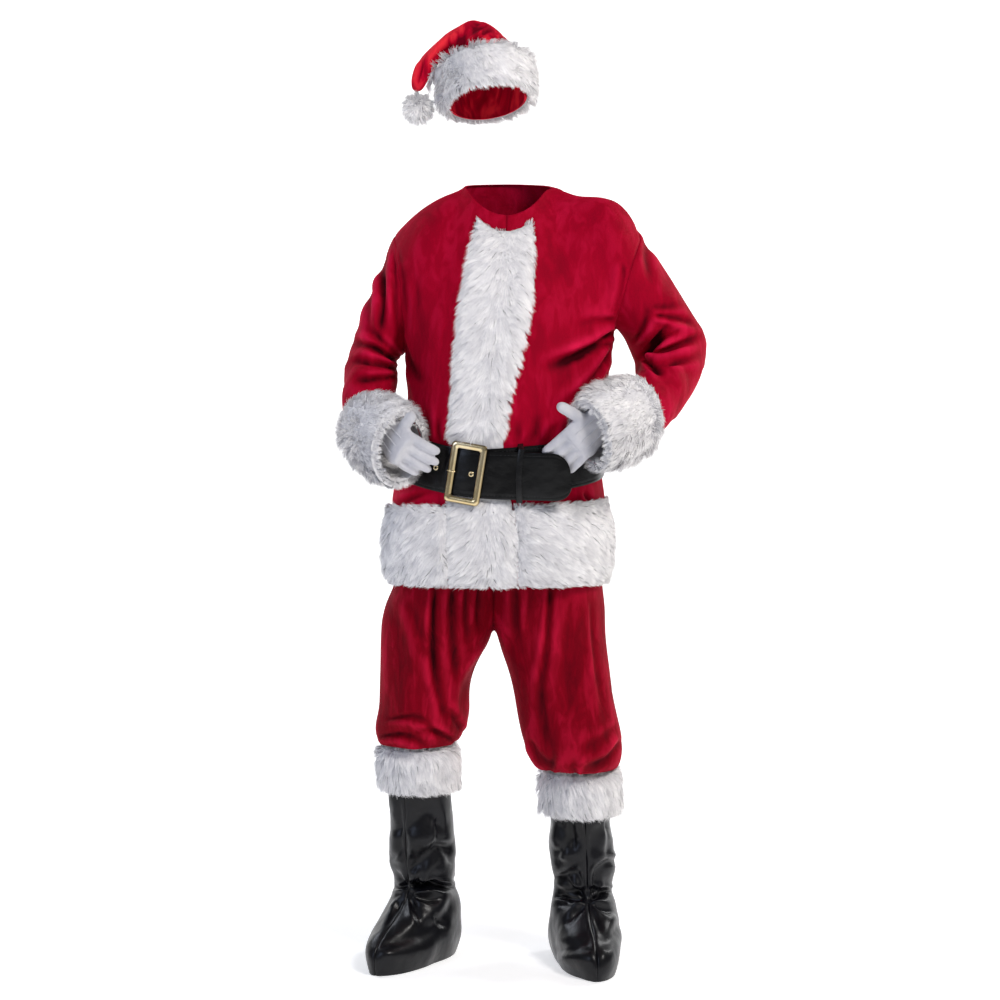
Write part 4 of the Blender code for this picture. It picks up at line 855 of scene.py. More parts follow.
def smooth(rows, at):
    """Every column of a table at the given values of its first column, on smooth curves through its rows."""
    cells = np.array(rows, float)
    keys = cells[:, 0]
    slopes = np.gradient(cells, keys, axis=0)
    at = np.clip(np.asarray(at, float), keys[0], keys[-1])
    i = np.clip(np.searchsorted(keys, at) - 1, 0, len(keys) - 2)
    step = (keys[i + 1] - keys[i])[..., None]
    t = (at - keys[i])[..., None] / step
    return (
        (2 * t**3 - 3 * t**2 + 1) * cells[i]
        + (t**3 - 2 * t**2 + t) * step * slopes[i]
        + (3 * t**2 - 2 * t**3) * cells[i + 1]
        + (t**3 - t**2) * step * slopes[i + 1]
    )


def add_tube(shape, rings, closed=False):
    """A tube through rings of points, added to a bmesh. Its ends are capped, or joined where it is closed."""
    rows, sides = len(rings), len(rings[0])
    verts = [[shape.verts.new(point) for point in ring] for ring in rings]
    for i in range(rows if closed else rows - 1):
        here, after = verts[i], verts[(i + 1) % rows]
        for j in range(sides):
            beside = (j + 1) % sides
            shape.faces.new((here[j], here[beside], after[beside], after[j]))
    if not closed:
        shape.faces.new(verts[0][::-1])
        shape.faces.new(verts[-1])


def oval(place, wide, thick, half_width, half_thickness, sides=24):
    turn = np.linspace(0, 2 * math.pi, sides + 1)[:-1, None]
    return place + wide * half_width * np.cos(turn) + thick * half_thickness * np.sin(turn)


glove_cotton, shader = new_material(
    "glove_cotton", (0.60, 0.59, 0.63), 0.9, {"Specular IOR Level": 0.15, "Sheen Weight": 0.2}
)
mottled(glove_cotton, shader, (0.52, 0.52, 0.57), (0.66, 0.65, 0.68), 30.0)
place = own_place(glove_cotton)
wales = add_node(glove_cotton, "TexWave", "Fac", {"Vector": place, "Scale": 420.0, "Distortion": 1.5, "Detail": 1.0})
bumped(glove_cotton, shader, (wandering(glove_cotton, place, 110.0, 3.0), 0.35, 0.0012), (wales, 0.25, 0.0003))

for side, hand in HANDS.items():
    wrist, knuckles = np.array(hand[:3]), np.array(hand[3:6])
    ahead = unit(knuckles - wrist)
    back = np.array([hand.lean, -1.0, 0.0])
    back = unit(back - ahead * (back @ ahead))
    thumbward = np.cross(back, ahead) * THUMB_SIDE[side]

    solid_hand = bmesh.new()
    sections = smooth(PALM, np.linspace(PALM[0].along, PALM[-1].along, TUBE_RINGS))
    add_tube(solid_hand, [
        oval(wrist + ahead * along, thumbward, back, width / 2, thickness / 2)
        for along, width, thickness in sections
    ])
    pose = FINGER_POSES[side]
    fingers = [digit._replace(bend=pose.bend, curl=pose.curl, fan=digit.fan + pose.fan) for digit in DIGITS[:4]]
    for digit in [*fingers, THUMBS[side]]:
        place = wrist + ahead * digit.along + thumbward * digit.across
        fan = math.radians(digit.fan)
        straight = ahead * math.cos(fan) + thumbward * math.sin(fan)
        line, reached = [], 0.0
        for share in DIGIT_STATIONS:
            bend = math.radians(digit.bend + (digit.curl - digit.bend) * share)
            place = place + (straight * math.cos(bend) - back * math.sin(bend)) * digit.length * (share - reached)
            reached = share
            line.append((share, *place))
        shares = np.linspace(0, DIGIT_STATIONS[-1], TUBE_RINGS)
        centres = smooth(line, shares)[:, 1:]
        sizes = smooth(DIGIT_SIZES, shares)[:, 1] * digit.radius
        rings = []
        for centre, heading, size in zip(centres, unit(np.gradient(centres, axis=0)), sizes):
            aside = unit(np.cross(heading, back))
            rings.append(oval(centre, aside, np.cross(aside, heading), size, size, DIGIT_SIDES))
        add_tube(solid_hand, rings)
    glove = dressed(f"glove_{side}_cotton", closed_mesh_of(solid_hand, "hand"), glove_cotton, f"glove_{side}")
    modified(glove, "REMESH", mode="VOXEL", voxel_size=GLOVE_MESH)
    modified(glove, "SMOOTH", factor=0.5, iterations=6)
    apply_modifiers(glove)

    cut = shape_of(glove.data)
    wrist_end = Vector(wrist + ahead * PALM[0].along)
    closed = [
        face for face in cut.faces
        if face.normal.dot(Vector(ahead)) < -0.5 and (face.calc_center_median() - wrist_end).dot(Vector(ahead)) < 0.004
    ]
    bmesh.ops.delete(cut, geom=closed, context="FACES")
    cut.to_mesh(glove.data)
    cut.free()
    places, normals = vertex_arrays(glove.data)
    places += normals * crumple(places, *GLOVE_SMALL_FOLDS)[:, None]
    glove.data.vertices.foreach_set("co", places.ravel())
    modified(glove, "SOLIDIFY", thickness=GLOVE_THICKNESS, offset=-1)
    apply_modifiers(glove)

    cut = shape_of(glove.data)
    skin = BVHTree.FromBMesh(cut)
    for across in BACK_LINES:
        line = []
        for along in np.linspace(BACK_LINE_START, BACK_LINE_END, 14):
            aside = across * (0.75 + 0.25 * along / BACK_LINE_END)
            start = wrist + ahead * along + thumbward * aside + back * 0.06
            hit, normal, _, _ = skin.ray_cast(Vector(start), Vector(-back), 0.1)
            if hit is not None:
                line.append(np.array(hit + normal * BACK_LINE_RADIUS * 0.3))
        add_tube(cut, [oval(point, thumbward, back, BACK_LINE_RADIUS, BACK_LINE_RADIUS, 8) for point in line])
    cut.to_mesh(glove.data)
    cut.free()
    glove.data.shade_smooth()


# Belt ------------------------------------------------------
# One strap of black imitation leather on a stiff core, edged with a line of stitching. It starts behind the
# buckle, goes round the back, comes through the buckle and lies over itself under a narrow loop.

TORSO = table(  # the body of the jacket where the belt is
    "height x y half_width front back turn",
    (-0.570, -0.003, 0.000, 0.2085, 0.169, 0.144, -9),
    (-0.510, -0.001, 0.000, 0.205, 0.170, 0.138, -12),
    (-0.430, 0.007, 0.000, 0.197, 0.171, 0.132, -14),
    (-0.350, 0.014, 0.000, 0.197, 0.168, 0.130, -13),
)
SQUARENESS = 2.25
BELT_LINE = table(
    "angle height",
    (-180, -0.440), (-135, -0.436), (-90, -0.448), (-50, -0.470),
    (-5, -0.498), (40, -0.494), (75, -0.476), (120, -0.450), (180, -0.440),
)
BELT_CINCH, CINCH_REACH = 0.005, 0.066
STRAP = table(  # the middle of the strap, from its hidden end round the back and over itself to its free end
    "angle height",
    (2, -0.499), (45, -0.485), (75, -0.472), (120, -0.450), (180, -0.440), (225, -0.436),
    (270, -0.448), (310, -0.470), (345, -0.492), (362, -0.500), (380, -0.503), (406, -0.504),
)
STRAP_START, STRAP_END = 2.0, 403.5
STRAP_END_RADIUS = 0.034
STRAP_TURN = 0.22  # metres of strap a radian
NEAR_END = np.array((8, 6.6, 5.2, 3.8, 2.6, 1.6, 0.9, 0.4, 0.1, 0.02))  # degrees from the end, closer where it is round
STRAP_GAP, LAYER_GAP, PRESSED_PILE = 0.0027, 0.0012, 0.003
BELT_WIDTH, BELT_THICKNESS, BELT_RADIUS = 0.090, 0.0025, 0.19
OVERLAP_START, OVERLAP_REACHED = 350, 360
LIFT_START, LIFT_REACHED, TAIL_LIFT = 374, 404, 0.0352
FUR_RISE, FUR_FALL = (-19.5, -14.5), (15.5, 20.5)
SEAM_LINE = 0.85  # share of the half width at which the stitching runs
SEAM_DEPTH, SEAM_WIDTH = 0.0005, 0.022
EDGE_FALL, EDGE_START, EDGE_WIDTH = 0.0005, 0.92, 0.05  # the strap's outer face is rounded off at its edges
STITCH_LENGTH, STITCH_PITCH, STITCH_WIDTH = 0.0030, 0.0046, 0.0008


def torso(angle, height, cinched=1.0):
    """Points round the body of the jacket. The angle is from the centre front."""
    angle, height = np.broadcast_arrays(np.asarray(angle, float), np.asarray(height, float))
    _, x, y, half_width, front, behind, turn = np.moveaxis(smooth(TORSO, height), -1, 0)
    middle = smooth(BELT_LINE, (angle + 180) % 360 - 180)[..., 1]
    cinch = cinched * BELT_CINCH * np.exp(-(((height - middle) / CINCH_REACH) ** 10))
    turned = np.radians(angle + turn)
    across, ahead = np.sin(turned), np.cos(turned)
    depth = np.where(ahead > 0, front, behind) - cinch
    power = 2 / SQUARENESS
    return np.stack(
        [
            x + (half_width - cinch) * np.sign(across) * np.abs(across) ** power,
            y - depth * np.sign(ahead) * np.abs(ahead) ** power,
            height,
        ],
        axis=-1,
    )


def between(value, start, end):
    return ease((value - start) / (end - start))


def strap_points(angle, across, forward=0.0):
    """Points at a height above the back of the strap. Across runs from -1 at its lower edge to 1 at its upper."""
    angle, across = np.broadcast_arrays(np.asarray(angle, float), np.asarray(across, float))
    left = np.radians(STRAP_END - angle) * STRAP_TURN
    corner = np.clip(1 - left / STRAP_END_RADIUS, 0, 1)
    half = BELT_WIDTH / 2 - STRAP_END_RADIUS * (1 - np.sqrt(1 - corner**2))
    height = smooth(STRAP, angle)[..., 1] + across * half
    cinched = 1 - ease((angle - 360) / 20)
    step = 0.25
    surface = torso(angle, height, cinched)
    around = torso(angle + step, height, cinched) - torso(angle - step, height, cinched)
    upward = torso(angle, height + 0.001, cinched) - torso(angle, height - 0.001, cinched)
    out = unit(np.cross(around, upward))
    level = (angle + 180) % 360 - 180
    on_fur = between(level, *FUR_RISE) * (1 - between(level, *FUR_FALL))
    over = between(angle, OVERLAP_START, OVERLAP_REACHED)
    layers = on_fur * (PRESSED_PILE + LAYER_GAP) + over * (BELT_THICKNESS + LAYER_GAP)
    offset = STRAP_GAP + layers + between(angle, LIFT_START, LIFT_REACHED) * TAIL_LIFT
    return surface + out * (offset + forward)[..., None]


belt_vinyl = imitation_leather("belt_vinyl", (0.0026, 0.0026, 0.0030), 0.26, 0.20, 0.009)

profile = [(share, 1.0) for share in np.linspace(-0.97, 0.97, 35)]
profile += [(0.995, 0.72), (1.0, 0.5), (0.995, 0.25)] + [(share, 0.0) for share in np.linspace(0.98, -0.98, 13)]
profile += [(-0.995, 0.25), (-1.0, 0.5), (-0.995, 0.72)]
share, rise = np.array(profile).T
groove = SEAM_DEPTH * np.exp(-(((np.abs(share) - SEAM_LINE) / SEAM_WIDTH) ** 2)) * (rise == 1)
edge_fall = EDGE_FALL * ease((np.abs(share) - EDGE_START) / EDGE_WIDTH) * (rise == 1)
forward = rise * BELT_THICKNESS - groove - edge_fall
stations = np.concatenate([np.linspace(STRAP_START, STRAP_END - 9.5, 250), STRAP_END - NEAR_END])
rings = strap_points(stations[:, None], share[None, :], np.broadcast_to(forward, (len(stations), len(share))))
strap_shape = bmesh.new()
add_tube(strap_shape, rings)
strap = dressed("belt_strap_vinyl", closed_mesh_of(strap_shape, "strap"), belt_vinyl, "belt_strap")
strap.data.set_sharp_from_angle(angle=math.radians(50))

belt_thread, _ = new_material("belt_thread", (0.030, 0.030, 0.033), 0.6)
stitches = bmesh.new()
half = math.degrees(STITCH_LENGTH / BELT_RADIUS / 2)
upward = np.array([0, 0, 1.0])
for line in (-SEAM_LINE, SEAM_LINE):
    for angle in np.arange(STRAP_START + 1, STRAP_END - 8, math.degrees(STITCH_PITCH / BELT_RADIUS)):
        ends = strap_points(np.array([angle - half, angle + half]), line, np.full(2, BELT_THICKNESS - SEAM_DEPTH))
        heading = unit(ends[1] - ends[0])
        out = np.cross(heading, upward)
        ring_places = ends[0] + heading * STITCH_LENGTH * np.array((0, 0.3, 0.7, 1))[:, None]
        sizes = np.array((0.35, 1.0, 1.0, 0.35)) * STITCH_WIDTH / 2
        add_tube(stitches, [oval(place, upward, out, size, size, 4) for place, size in zip(ring_places, sizes)])
stitching = new_object("belt_stitching", closed_mesh_of(stitches, "stitches"), belt_thread)
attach(stitching, "root")

# the strap's black vinyl a little lighter: a painted highlight that sets the loop apart from the strap
keeper_vinyl = imitation_leather("keeper_vinyl", (0.009, 0.009, 0.010), 0.24, 0.20, 0.002)
loop = dressed("belt_keeper_vinyl", solid("belt_keeper").copy(), keeper_vinyl, "belt_keeper")
modified(loop, "WELD", merge_threshold=0.00005)
modified(loop, "BEVEL", width=0.0003, segments=2, limit_method="ANGLE")
apply_modifiers(loop)
loop.data.shade_smooth()


# Buckle and eyelets ----------------------------------------
# A cast frame with bevelled bars and a bent wire prong, both plated pale gold, and pressed brass eyelets.

BUCKLE_ANGLE = 357.2
BUCKLE_TILT = math.radians(-2.3)
BUCKLE_GAP = 0.0022
BUCKLE_OUTER, BUCKLE_WINDOW, BUCKLE_CORNER = (0.0350, 0.0575), (0.0222, 0.0455), 0.008
# the last column is the share of painted dark brown reflection at each ring of a bar
BUCKLE_BAR = table(
    "inward forward tarnish",
    (0.00, 0.0002, 1.0), (0.00, 0.0025, 1.0), (0.05, 0.0031, 0.7), (0.20, 0.0045, 0.05), (0.26, 0.0048, 0.0),
    (0.47, 0.0049, 0.25), (0.68, 0.0048, 0.0), (0.74, 0.0045, 0.0), (0.95, 0.0031, 0.25), (1.00, 0.0026, 1.0),
    (1.00, 0.0002, 1.0), (0.97, 0.0000, 1.0), (0.03, 0.0000, 1.0),
)
PRONG_RADIUS, PRONG_LOOP, PRONG_HEIGHT = 0.0012, (0.0083, 0.0042), 0.0018
EYELET_ANGLES = (359.8, 338.5)
EYELET = ((0.0021, 0.0004), (0.0022, 0.0014), (0.0027, 0.0019), (0.0038, 0.0020), (0.0050, 0.0014), (0.0056, 0.0005))


def strap_frame(angle):
    """A place on the strap's outer face, its outward normal and the directions along and up."""
    place = strap_points(angle, 0.0, np.array(BELT_THICKNESS))
    along = unit(strap_points(angle + 1.5, 0.0, np.array(0.0)) - strap_points(angle - 1.5, 0.0, np.array(0.0)))
    rising = strap_points(angle, 1.0, np.array(0.0)) - strap_points(angle, -1.0, np.array(0.0))
    outward = unit(np.cross(along, rising))
    return place, outward, along, np.cross(outward, along)


# pale gold plating, with painted dark brown reflections on its sides and back and fainter ones along its face, leaving
# the bevels bright
gold, shader = new_material("polished_gold", (0.83, 0.66, 0.36), 0.17, {"Metallic": 1.0})
plating = mottled(gold, shader, (0.74, 0.56, 0.27), (0.92, 0.78, 0.50), 20.0, 2.0)
# painted dark brown reflection mixed over the plating
dark_reflection_share = add_node(gold, "Attribute", "Fac", {}, attribute_name="tarnish")
mixed = {"Factor": dark_reflection_share, "A": plating, "B": (0.13, 0.075, 0.025, 1)}
feed(gold, shader, {"Base Color": add_node(gold, "Mix", "Result", mixed, data_type="RGBA")})
bumped(gold, shader, (wandering(gold, own_place(gold), 700.0, 3.0), 0.05, 0.0001))


def gold_ring(name, rings, node, sharp, tarnish=()):
    """A gold piece from rings of points that make a closed loop, in place of a solid."""
    shape = bmesh.new()
    add_tube(shape, rings, closed=True)
    mesh = closed_mesh_of(shape, name)
    if tarnish:
        mesh.attributes.new("tarnish", "FLOAT", "POINT").data.foreach_set("value", np.repeat(tarnish, len(rings[0])))
    if sharp:
        mesh.set_sharp_from_angle(angle=math.radians(sharp))
    dressed(name, mesh, gold, node)


def rounded_rectangle(half_width, half_height, radius):
    corners = []
    for start, sx, sy in ((0, 1, 1), (90, -1, 1), (180, -1, -1), (270, 1, -1)):
        for turn in np.radians(start + np.linspace(0, 90, 13)):
            corners.append((
                sx * (half_width - radius) + radius * math.cos(turn),
                sy * (half_height - radius) + radius * math.sin(turn),
            ))
    return np.array(corners)


place, outward, along, upward = strap_frame(BUCKLE_ANGLE)
right = along * math.cos(BUCKLE_TILT) + upward * math.sin(BUCKLE_TILT)
up = upward * math.cos(BUCKLE_TILT) - along * math.sin(BUCKLE_TILT)
place = place + outward * BUCKLE_GAP
outline = rounded_rectangle(*BUCKLE_OUTER, BUCKLE_CORNER)
window = rounded_rectangle(*BUCKLE_WINDOW, BUCKLE_CORNER / 2)
rings = []
for bar in BUCKLE_BAR:
    flat = outline + (window - outline) * bar.inward
    rings.append(place + flat[:, :1] * right + flat[:, 1:] * up + bar.forward * outward)
gold_ring("buckle_frame_gold", rings, "buckle_frame", 20, [bar.tarnish for bar in BUCKLE_BAR])

bar_middle = -(BUCKLE_OUTER[0] + BUCKLE_WINDOW[0]) / 2
rings = []
for turn in np.linspace(0, 2 * math.pi, 49)[:-1]:
    centre = place + right * (bar_middle + PRONG_LOOP[0] * math.cos(turn))
    centre = centre + outward * (PRONG_HEIGHT + PRONG_LOOP[1] * math.sin(turn))
    out = right * math.cos(turn) + outward * math.sin(turn)
    rings.append(oval(centre, out, up, PRONG_RADIUS * 0.6, PRONG_RADIUS, 12))
gold_ring("buckle_prong_gold", rings, "buckle_prong", 0)

for number, angle in enumerate(EYELET_ANGLES, 1):
    spot, out, sideways, over = strap_frame(angle)
    turns = np.linspace(0, 2 * math.pi, 33)[:-1, None]
    circle = sideways * np.cos(turns) + over * np.sin(turns)
    rings = [spot + circle * radius + out * height for radius, height in EYELET]
    gold_ring(f"belt_eyelet_{number}_gold", rings, f"belt_eyelet_{number}", 0)


# Fur -------------------------------------------------------
# Long-pile white faux fur on a knitted backing, cut in strips and sewn over the edges of the jacket, the sleeves,
# the boot covers and the hat. The pile is combed along each strip and parts into small tufts.

PILE_ROOT = 0.50  # share of the pile's depth at which the locks leave the dense underfur
UNDERFUR = 0.72  # share of the pile's depth that the dense underfur fills
STRIP_DENSITY, FACING_DENSITY, POMPOM_DENSITY = 240000, 170000, 700000  # locks to a square metre
LOCK_WIDTH = 0.00110
LOCK_PAINTED_SHADE = [0.05, 0.05, 0.45, 0.45, 0.95]  # painted shade along a lock, darkest at the root, from the root to the tip
LOCKS_IN_TUFT, LEAST_TUFTS, TUFT_PULL, TUFT_TONES = 26, 8, 0.62, (0.58, 1.15)
LEAST_PILE, FULL_PILE = 0.0015, 0.016  # a solid thinner than the first grows none, thicker than the second all of it
HIDDEN_REACH, HIDDEN_SHARE = 0.012, 0.30  # pile this near the belt lies under it
RAGGED = 0.0035  # the tips' unevenness at the edge of the solid's box
WANDER, WANDER_SCALE, SCATTER = 0.40, 28, 0.13  # how locks stray from the way they are combed, by area and each alone
LEAST_OUTWARD = 0.15
LOCK_LENGTHS, SHORTEST, DROOP, SAG, BULGE = (0.65, 1.1), 0.35, 0.18, 0.06, 0.10  # shares of the pile's length
# painted shade deep in the pile, where the locks would shadow each other, and the colour of the tips
PILE_SHADE, PILE_TIP = (0.50, 0.49, 0.52), (0.935, 0.92, 0.91)
fur_white, shader = new_material(
    "white_pile", PILE_TIP, 0.75, {"Specular IOR Level": 0.2, "Sheen Weight": 0.25, "Sheen Roughness": 0.5}
)
lightness = times_plus(
    fur_white, wandering(fur_white, own_place(fur_white), 38.0, 4.0), 0.35,
    add_node(fur_white, "Attribute", "Fac", {}, attribute_name="pile_depth"),
)
feed(fur_white, shader, {"Base Color": ramp(fur_white, lightness, (0.12, PILE_SHADE), (0.95, PILE_TIP))})
# greyer than the pile's tips: painted shade down in the pile, also on the cuffs' turned-in facings
underfur, shader = new_material("underfur", (0.70, 0.69, 0.70), 0.9)
mottled(underfur, shader, (0.60, 0.59, 0.61), (0.82, 0.81, 0.81), 150.0, 5.0)


def gathered(roots, tips, rng):
    """Tips drawn together into tufts, and a tone for each lock that its whole tuft shares."""
    centres = rng.permutation(len(roots))[:max(LEAST_TUFTS, len(roots) // LOCKS_IN_TUFT)]
    tree = points_tree([(number, Vector(roots[index])) for number, index in enumerate(centres)])
    nearest = np.array([tree.find(Vector(root))[1] for root in roots])
    target = roots[centres][nearest] + (tips - roots)[centres][nearest]
    amount = TUFT_PULL * rng.uniform(0.4, 1.0, (len(roots), 1))
    tone = rng.uniform(*TUFT_TONES, len(centres))[nearest]
    return tips + (target - tips) * amount, tone[:, None]


def backing(mesh, below):
    """The underfur: a solid of fur drawn in towards what carries it."""
    base = shape_of(mesh)
    bmesh.ops.remove_doubles(base, verts=base.verts, dist=WELD)
    bmesh.ops.subdivide_edges(base, edges=base.edges[:], cuts=1, use_grid_fill=True)
    for vertex in base.verts:
        ground = below(vertex.co)
        vertex.co = ground + (vertex.co - ground) * UNDERFUR
        vertex.co += vertex.normal * noise.noise(vertex.co * 90) * 0.0015
    return mesh_of(base, "underfur")


def furred(node, carriers, comb, length, lean, seed, density=STRIP_DENSITY, hidden_by=(), loose=0.006, skin=None):
    """Locks of pile over a solid of fur: flat tapered blades that leave a dense underfur, combed in one direction.
    They reach past the solid's box only by the loose length. A skin is a mesh to grow on in the solid's place, with
    no underfur of its own."""
    rng = np.random.default_rng(seed)
    mesh = skin or solid(node)
    mesh.calc_loop_triangles()
    corners = vertex_arrays(mesh)[0][np.array([triangle.vertices for triangle in mesh.loop_triangles])]
    a, b, c = np.moveaxis(corners, 1, 0)
    cross = np.cross(b - a, c - a)
    areas = np.linalg.norm(cross, axis=1) / 2
    flat = cross / (2 * areas[:, None] + 1e-15)
    low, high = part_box(node)
    tree = solids_tree(carriers)

    def below(place):
        return tree.find_nearest(Vector(place))[0] if carriers else (low + high) / 2

    count = int(areas.sum() * density)
    chosen = rng.choice(len(areas), count, p=areas / areas.sum())
    u, v = rng.random((2, count, 1))
    flip = (u + v) > 1
    u, v = np.where(flip, 1 - u, u), np.where(flip, 1 - v, v)
    places = a[chosen] + u * (b[chosen] - a[chosen]) + v * (c[chosen] - a[chosen])
    out = flat[chosen]
    ground = np.array([below(place) for place in places])
    height = np.linalg.norm(places - ground, axis=1)
    kept = height > LEAST_PILE
    if hidden_by:
        kept &= clearance(hidden_by, HIDDEN_REACH, places) > HIDDEN_SHARE
    places, out, ground, height = places[kept], out[kept], ground[kept], height[kept]
    count = len(places)
    roots = ground + (places - ground) * PILE_ROOT
    combed = comb(places) if callable(comb) else np.tile(np.array(comb, float), (count, 1))
    combed -= out * (combed * out).sum(axis=1, keepdims=True)
    wander = np.array([noise.noise_vector(Vector(place) * WANDER_SCALE) for place in places])
    direction = out * (1 - lean) + combed * lean + wander * WANDER + rng.normal(0, SCATTER, (count, 3))
    direction -= out * np.minimum((direction * out).sum(axis=1, keepdims=True) - LEAST_OUTWARD, 0)
    reach = length * rng.uniform(*LOCK_LENGTHS, (count, 1)) * np.clip(height / FULL_PILE, SHORTEST, 1)[:, None]
    tips, tone = gathered(roots, roots + unit(direction) * reach, rng)
    middle = roots + (tips - roots) * 0.5 + out * BULGE * reach
    droop = combed * DROOP * reach + np.array([0, 0, -SAG]) * reach
    ragged = rng.normal(0, RAGGED, (count, 3))
    tips = np.clip(tips + droop, np.array(low) - loose + ragged, np.array(high) + loose + ragged)
    heading = tips - roots
    wide = unit(np.cross(heading, out + rng.normal(0, 0.5, (count, 3))), 1e-9)
    half = wide * LOCK_WIDTH / 2
    verts = np.stack([roots - half, roots + half, middle - half * 0.8, middle + half * 0.8, tips], axis=1)
    face = unit(np.cross(wide, heading), 1e-9)
    face *= np.sign((face * out).sum(axis=1, keepdims=True) + 1e-9)
    shading = unit(face * 0.62 + out * 0.68)

    start = 5 * np.arange(count)
    quads = np.stack([start, start + 1, start + 3, start + 2], axis=1).tolist()
    points = np.stack([start + 2, start + 3, start + 4], axis=1).tolist()
    name = f"{node}_facing_pile" if skin else f"{node}_pile"
    locks = bpy.data.meshes.new(name)
    locks.from_pydata(verts.reshape(-1, 3).tolist(), [], quads + points)
    locks.shade_smooth()
    # painted shade, darkest at the roots, scaled by the tuft's tone
    shade_along_lock = np.tile(LOCK_PAINTED_SHADE, (count, 1)) * tone * rng.uniform(0.85, 1.1, (count, 1))
    locks.attributes.new("pile_depth", "FLOAT", "POINT").data.foreach_set("value", shade_along_lock.ravel())
    locks.normals_split_custom_set_from_vertices(np.repeat(shading, 5, axis=0).tolist())
    pile = dressed(name, locks, fur_white, node)
    pile.visible_shadow = False  # the loose pile casts no shadows; the shade between the locks is painted along them instead
    if not skin:
        dressed(f"{name}_backing", backing(mesh, below), underfur, node)


FACING_DEPTH = 0.120  # how far the fur is turned in at each cuff's mouth
FACING_RAISED, FACING_UNEVEN, FACING_FORWARD = 0.0035, 0.0012, 0.006
FACING_EDGE, FACING_EDGE_BACK = 0.013, 0.005  # the fur turned over the mouth's edge
MOUTH_REACH = 0.016  # the pile turns over the edge within this of the mouth

band_points, _ = vertex_arrays(solid("fur_front_band"))
BAND_TOP = band_points[:, 2].max()
levels = np.linspace(band_points[:, 2].min(), BAND_TOP, 9)
near_level = [band_points[np.abs(band_points[:, 2] - level) < 0.06, 0] for level in levels]
band_middle = [(xs.min() + xs.max()) / 2 for xs in near_level]


def band_comb(places):
    """Down and towards the wearer's right, out over both edges, and up over the neck."""
    aside = np.clip((places[:, 0] - np.interp(places[:, 2], levels, band_middle)) / 0.035, -1, 1)
    top = ease((places[:, 2] - BAND_TOP + 0.030) / 0.026)
    down = -0.9 * (1 - top) + 1.3 * top
    return np.stack([(1.0 * aside - 0.35) * (1 - 0.6 * top), 0 * aside, down], axis=1)


furred("fur_front_band", JACKET_CLOTH, band_comb, 0.028, 0.64, 1, hidden_by=("belt_strap", "buckle_frame"))


def hem_comb(node, outward, down):
    """Down and away from the front band, but over the join beside it and up over the top edge."""
    low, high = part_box(node)
    join = low.x if outward > 0 else high.x
    has_join = "front" in node

    def comb(places):
        beside = ease(1.0 - np.abs(places[:, 0] - join) / 0.022) * has_join
        top = ease((places[:, 2] - high.z + 0.016) / 0.013)
        return np.stack([outward * (1 - 2.2 * beside), 0 * beside, down * (1 - top) + 0.9 * top], axis=1)

    return comb


HEMS = table("place outward down", ("front_right", -0.6, -0.75), ("front_left", 0.8, -0.45), ("back", 0.3, -0.9))
for seed, (place, outward, down) in enumerate(HEMS, 2):
    hem = f"fur_hem_{place}"
    furred(hem, JACKET_CLOTH, hem_comb(hem, outward, down), 0.030, 0.68, seed, loose=0.004)

for seed, side in enumerate(SIDES, 5):
    cuff = f"cuff_{side}"
    low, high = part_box(cuff)
    middle = np.array((low + high) / 2)
    low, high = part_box(f"glove_{side}")
    to_hand = unit(np.array((low + high) / 2) - middle)
    mouth_at = ((vertex_arrays(solid(cuff))[0] - middle) @ to_hand).max()

    def round_mouth(places, width):
        """Directions in towards the cuff's middle line, and how near places are to its mouth."""
        along = (places - middle) @ to_hand
        inward = unit(middle + along[:, None] * to_hand - places, 1e-6)
        return inward, ease((along - mouth_at + MOUTH_REACH) / width)[:, None]

    def cuff_comb(places):
        """Towards the hand, and turned in over the mouth of the sleeve."""
        inward, turned_in = round_mouth(places, 0.016)
        return to_hand * (1 - 0.5 * turned_in) + inward * 1.7 * turned_in

    def facing_comb(places):
        """Out of the sleeve, and outwards where the fur turns over its edge."""
        inward, turned_over = round_mouth(places, 0.010)
        return 0.7 * to_hand + (0.5 - 1.3 * turned_over) * inward

    facing = shape_of(bpy.data.objects[f"sleeve_{side}_velvet"].data)
    start, axis = Vector(middle), Vector(to_hand)
    mouth = max((vertex.co - start) @ axis for vertex in facing.verts)
    far = [face for face in facing.faces if (face.calc_center_median() - start) @ axis < mouth - FACING_DEPTH]
    bmesh.ops.delete(facing, geom=far, context="FACES")
    facing.normal_update()
    for vertex in facing.verts:
        raised = FACING_RAISED + FACING_UNEVEN * noise.noise(vertex.co * 120)
        vertex.co += axis * FACING_FORWARD - vertex.normal * raised
    bmesh.ops.reverse_faces(facing, faces=facing.faces)
    edges = [edge for edge in facing.edges if edge.is_boundary]
    near = mouth - FACING_DEPTH / 4
    at_mouth = [edge for edge in edges if all((vertex.co - start) @ axis > near for vertex in edge.verts)]
    turned = {}
    for vertex in (vertex for edge in at_mouth for vertex in edge.verts):
        if vertex not in turned:
            away = vertex.co - start
            away -= axis * (away @ axis)
            edge_place = vertex.co + away.normalized() * FACING_EDGE - axis * FACING_EDGE_BACK
            turned[vertex] = facing.verts.new(edge_place)
    for first, second in (edge.verts for edge in at_mouth):
        face = facing.faces.new((first, second, turned[second], turned[first]))
        face.normal_update()
        if face.normal @ axis < 0:
            face.normal_flip()
    facing_mesh = mesh_of(facing, "facing")
    dressed(f"{cuff}_facing", facing_mesh, underfur, cuff)
    sleeve = (f"sleeve_{side}",)
    furred(cuff, sleeve, facing_comb, 0.036, 0.50, seed + 20, density=FACING_DENSITY, skin=facing_mesh)
    furred(cuff, sleeve, cuff_comb, 0.028, 0.50, seed)

for seed, side in enumerate(SIDES, 7):
    halves = (f"boot_outer_{side}", f"boot_inner_{side}")
    furred(f"fur_boot_{side}", halves, (0.35, 0, -0.9), 0.030, 0.62, seed)

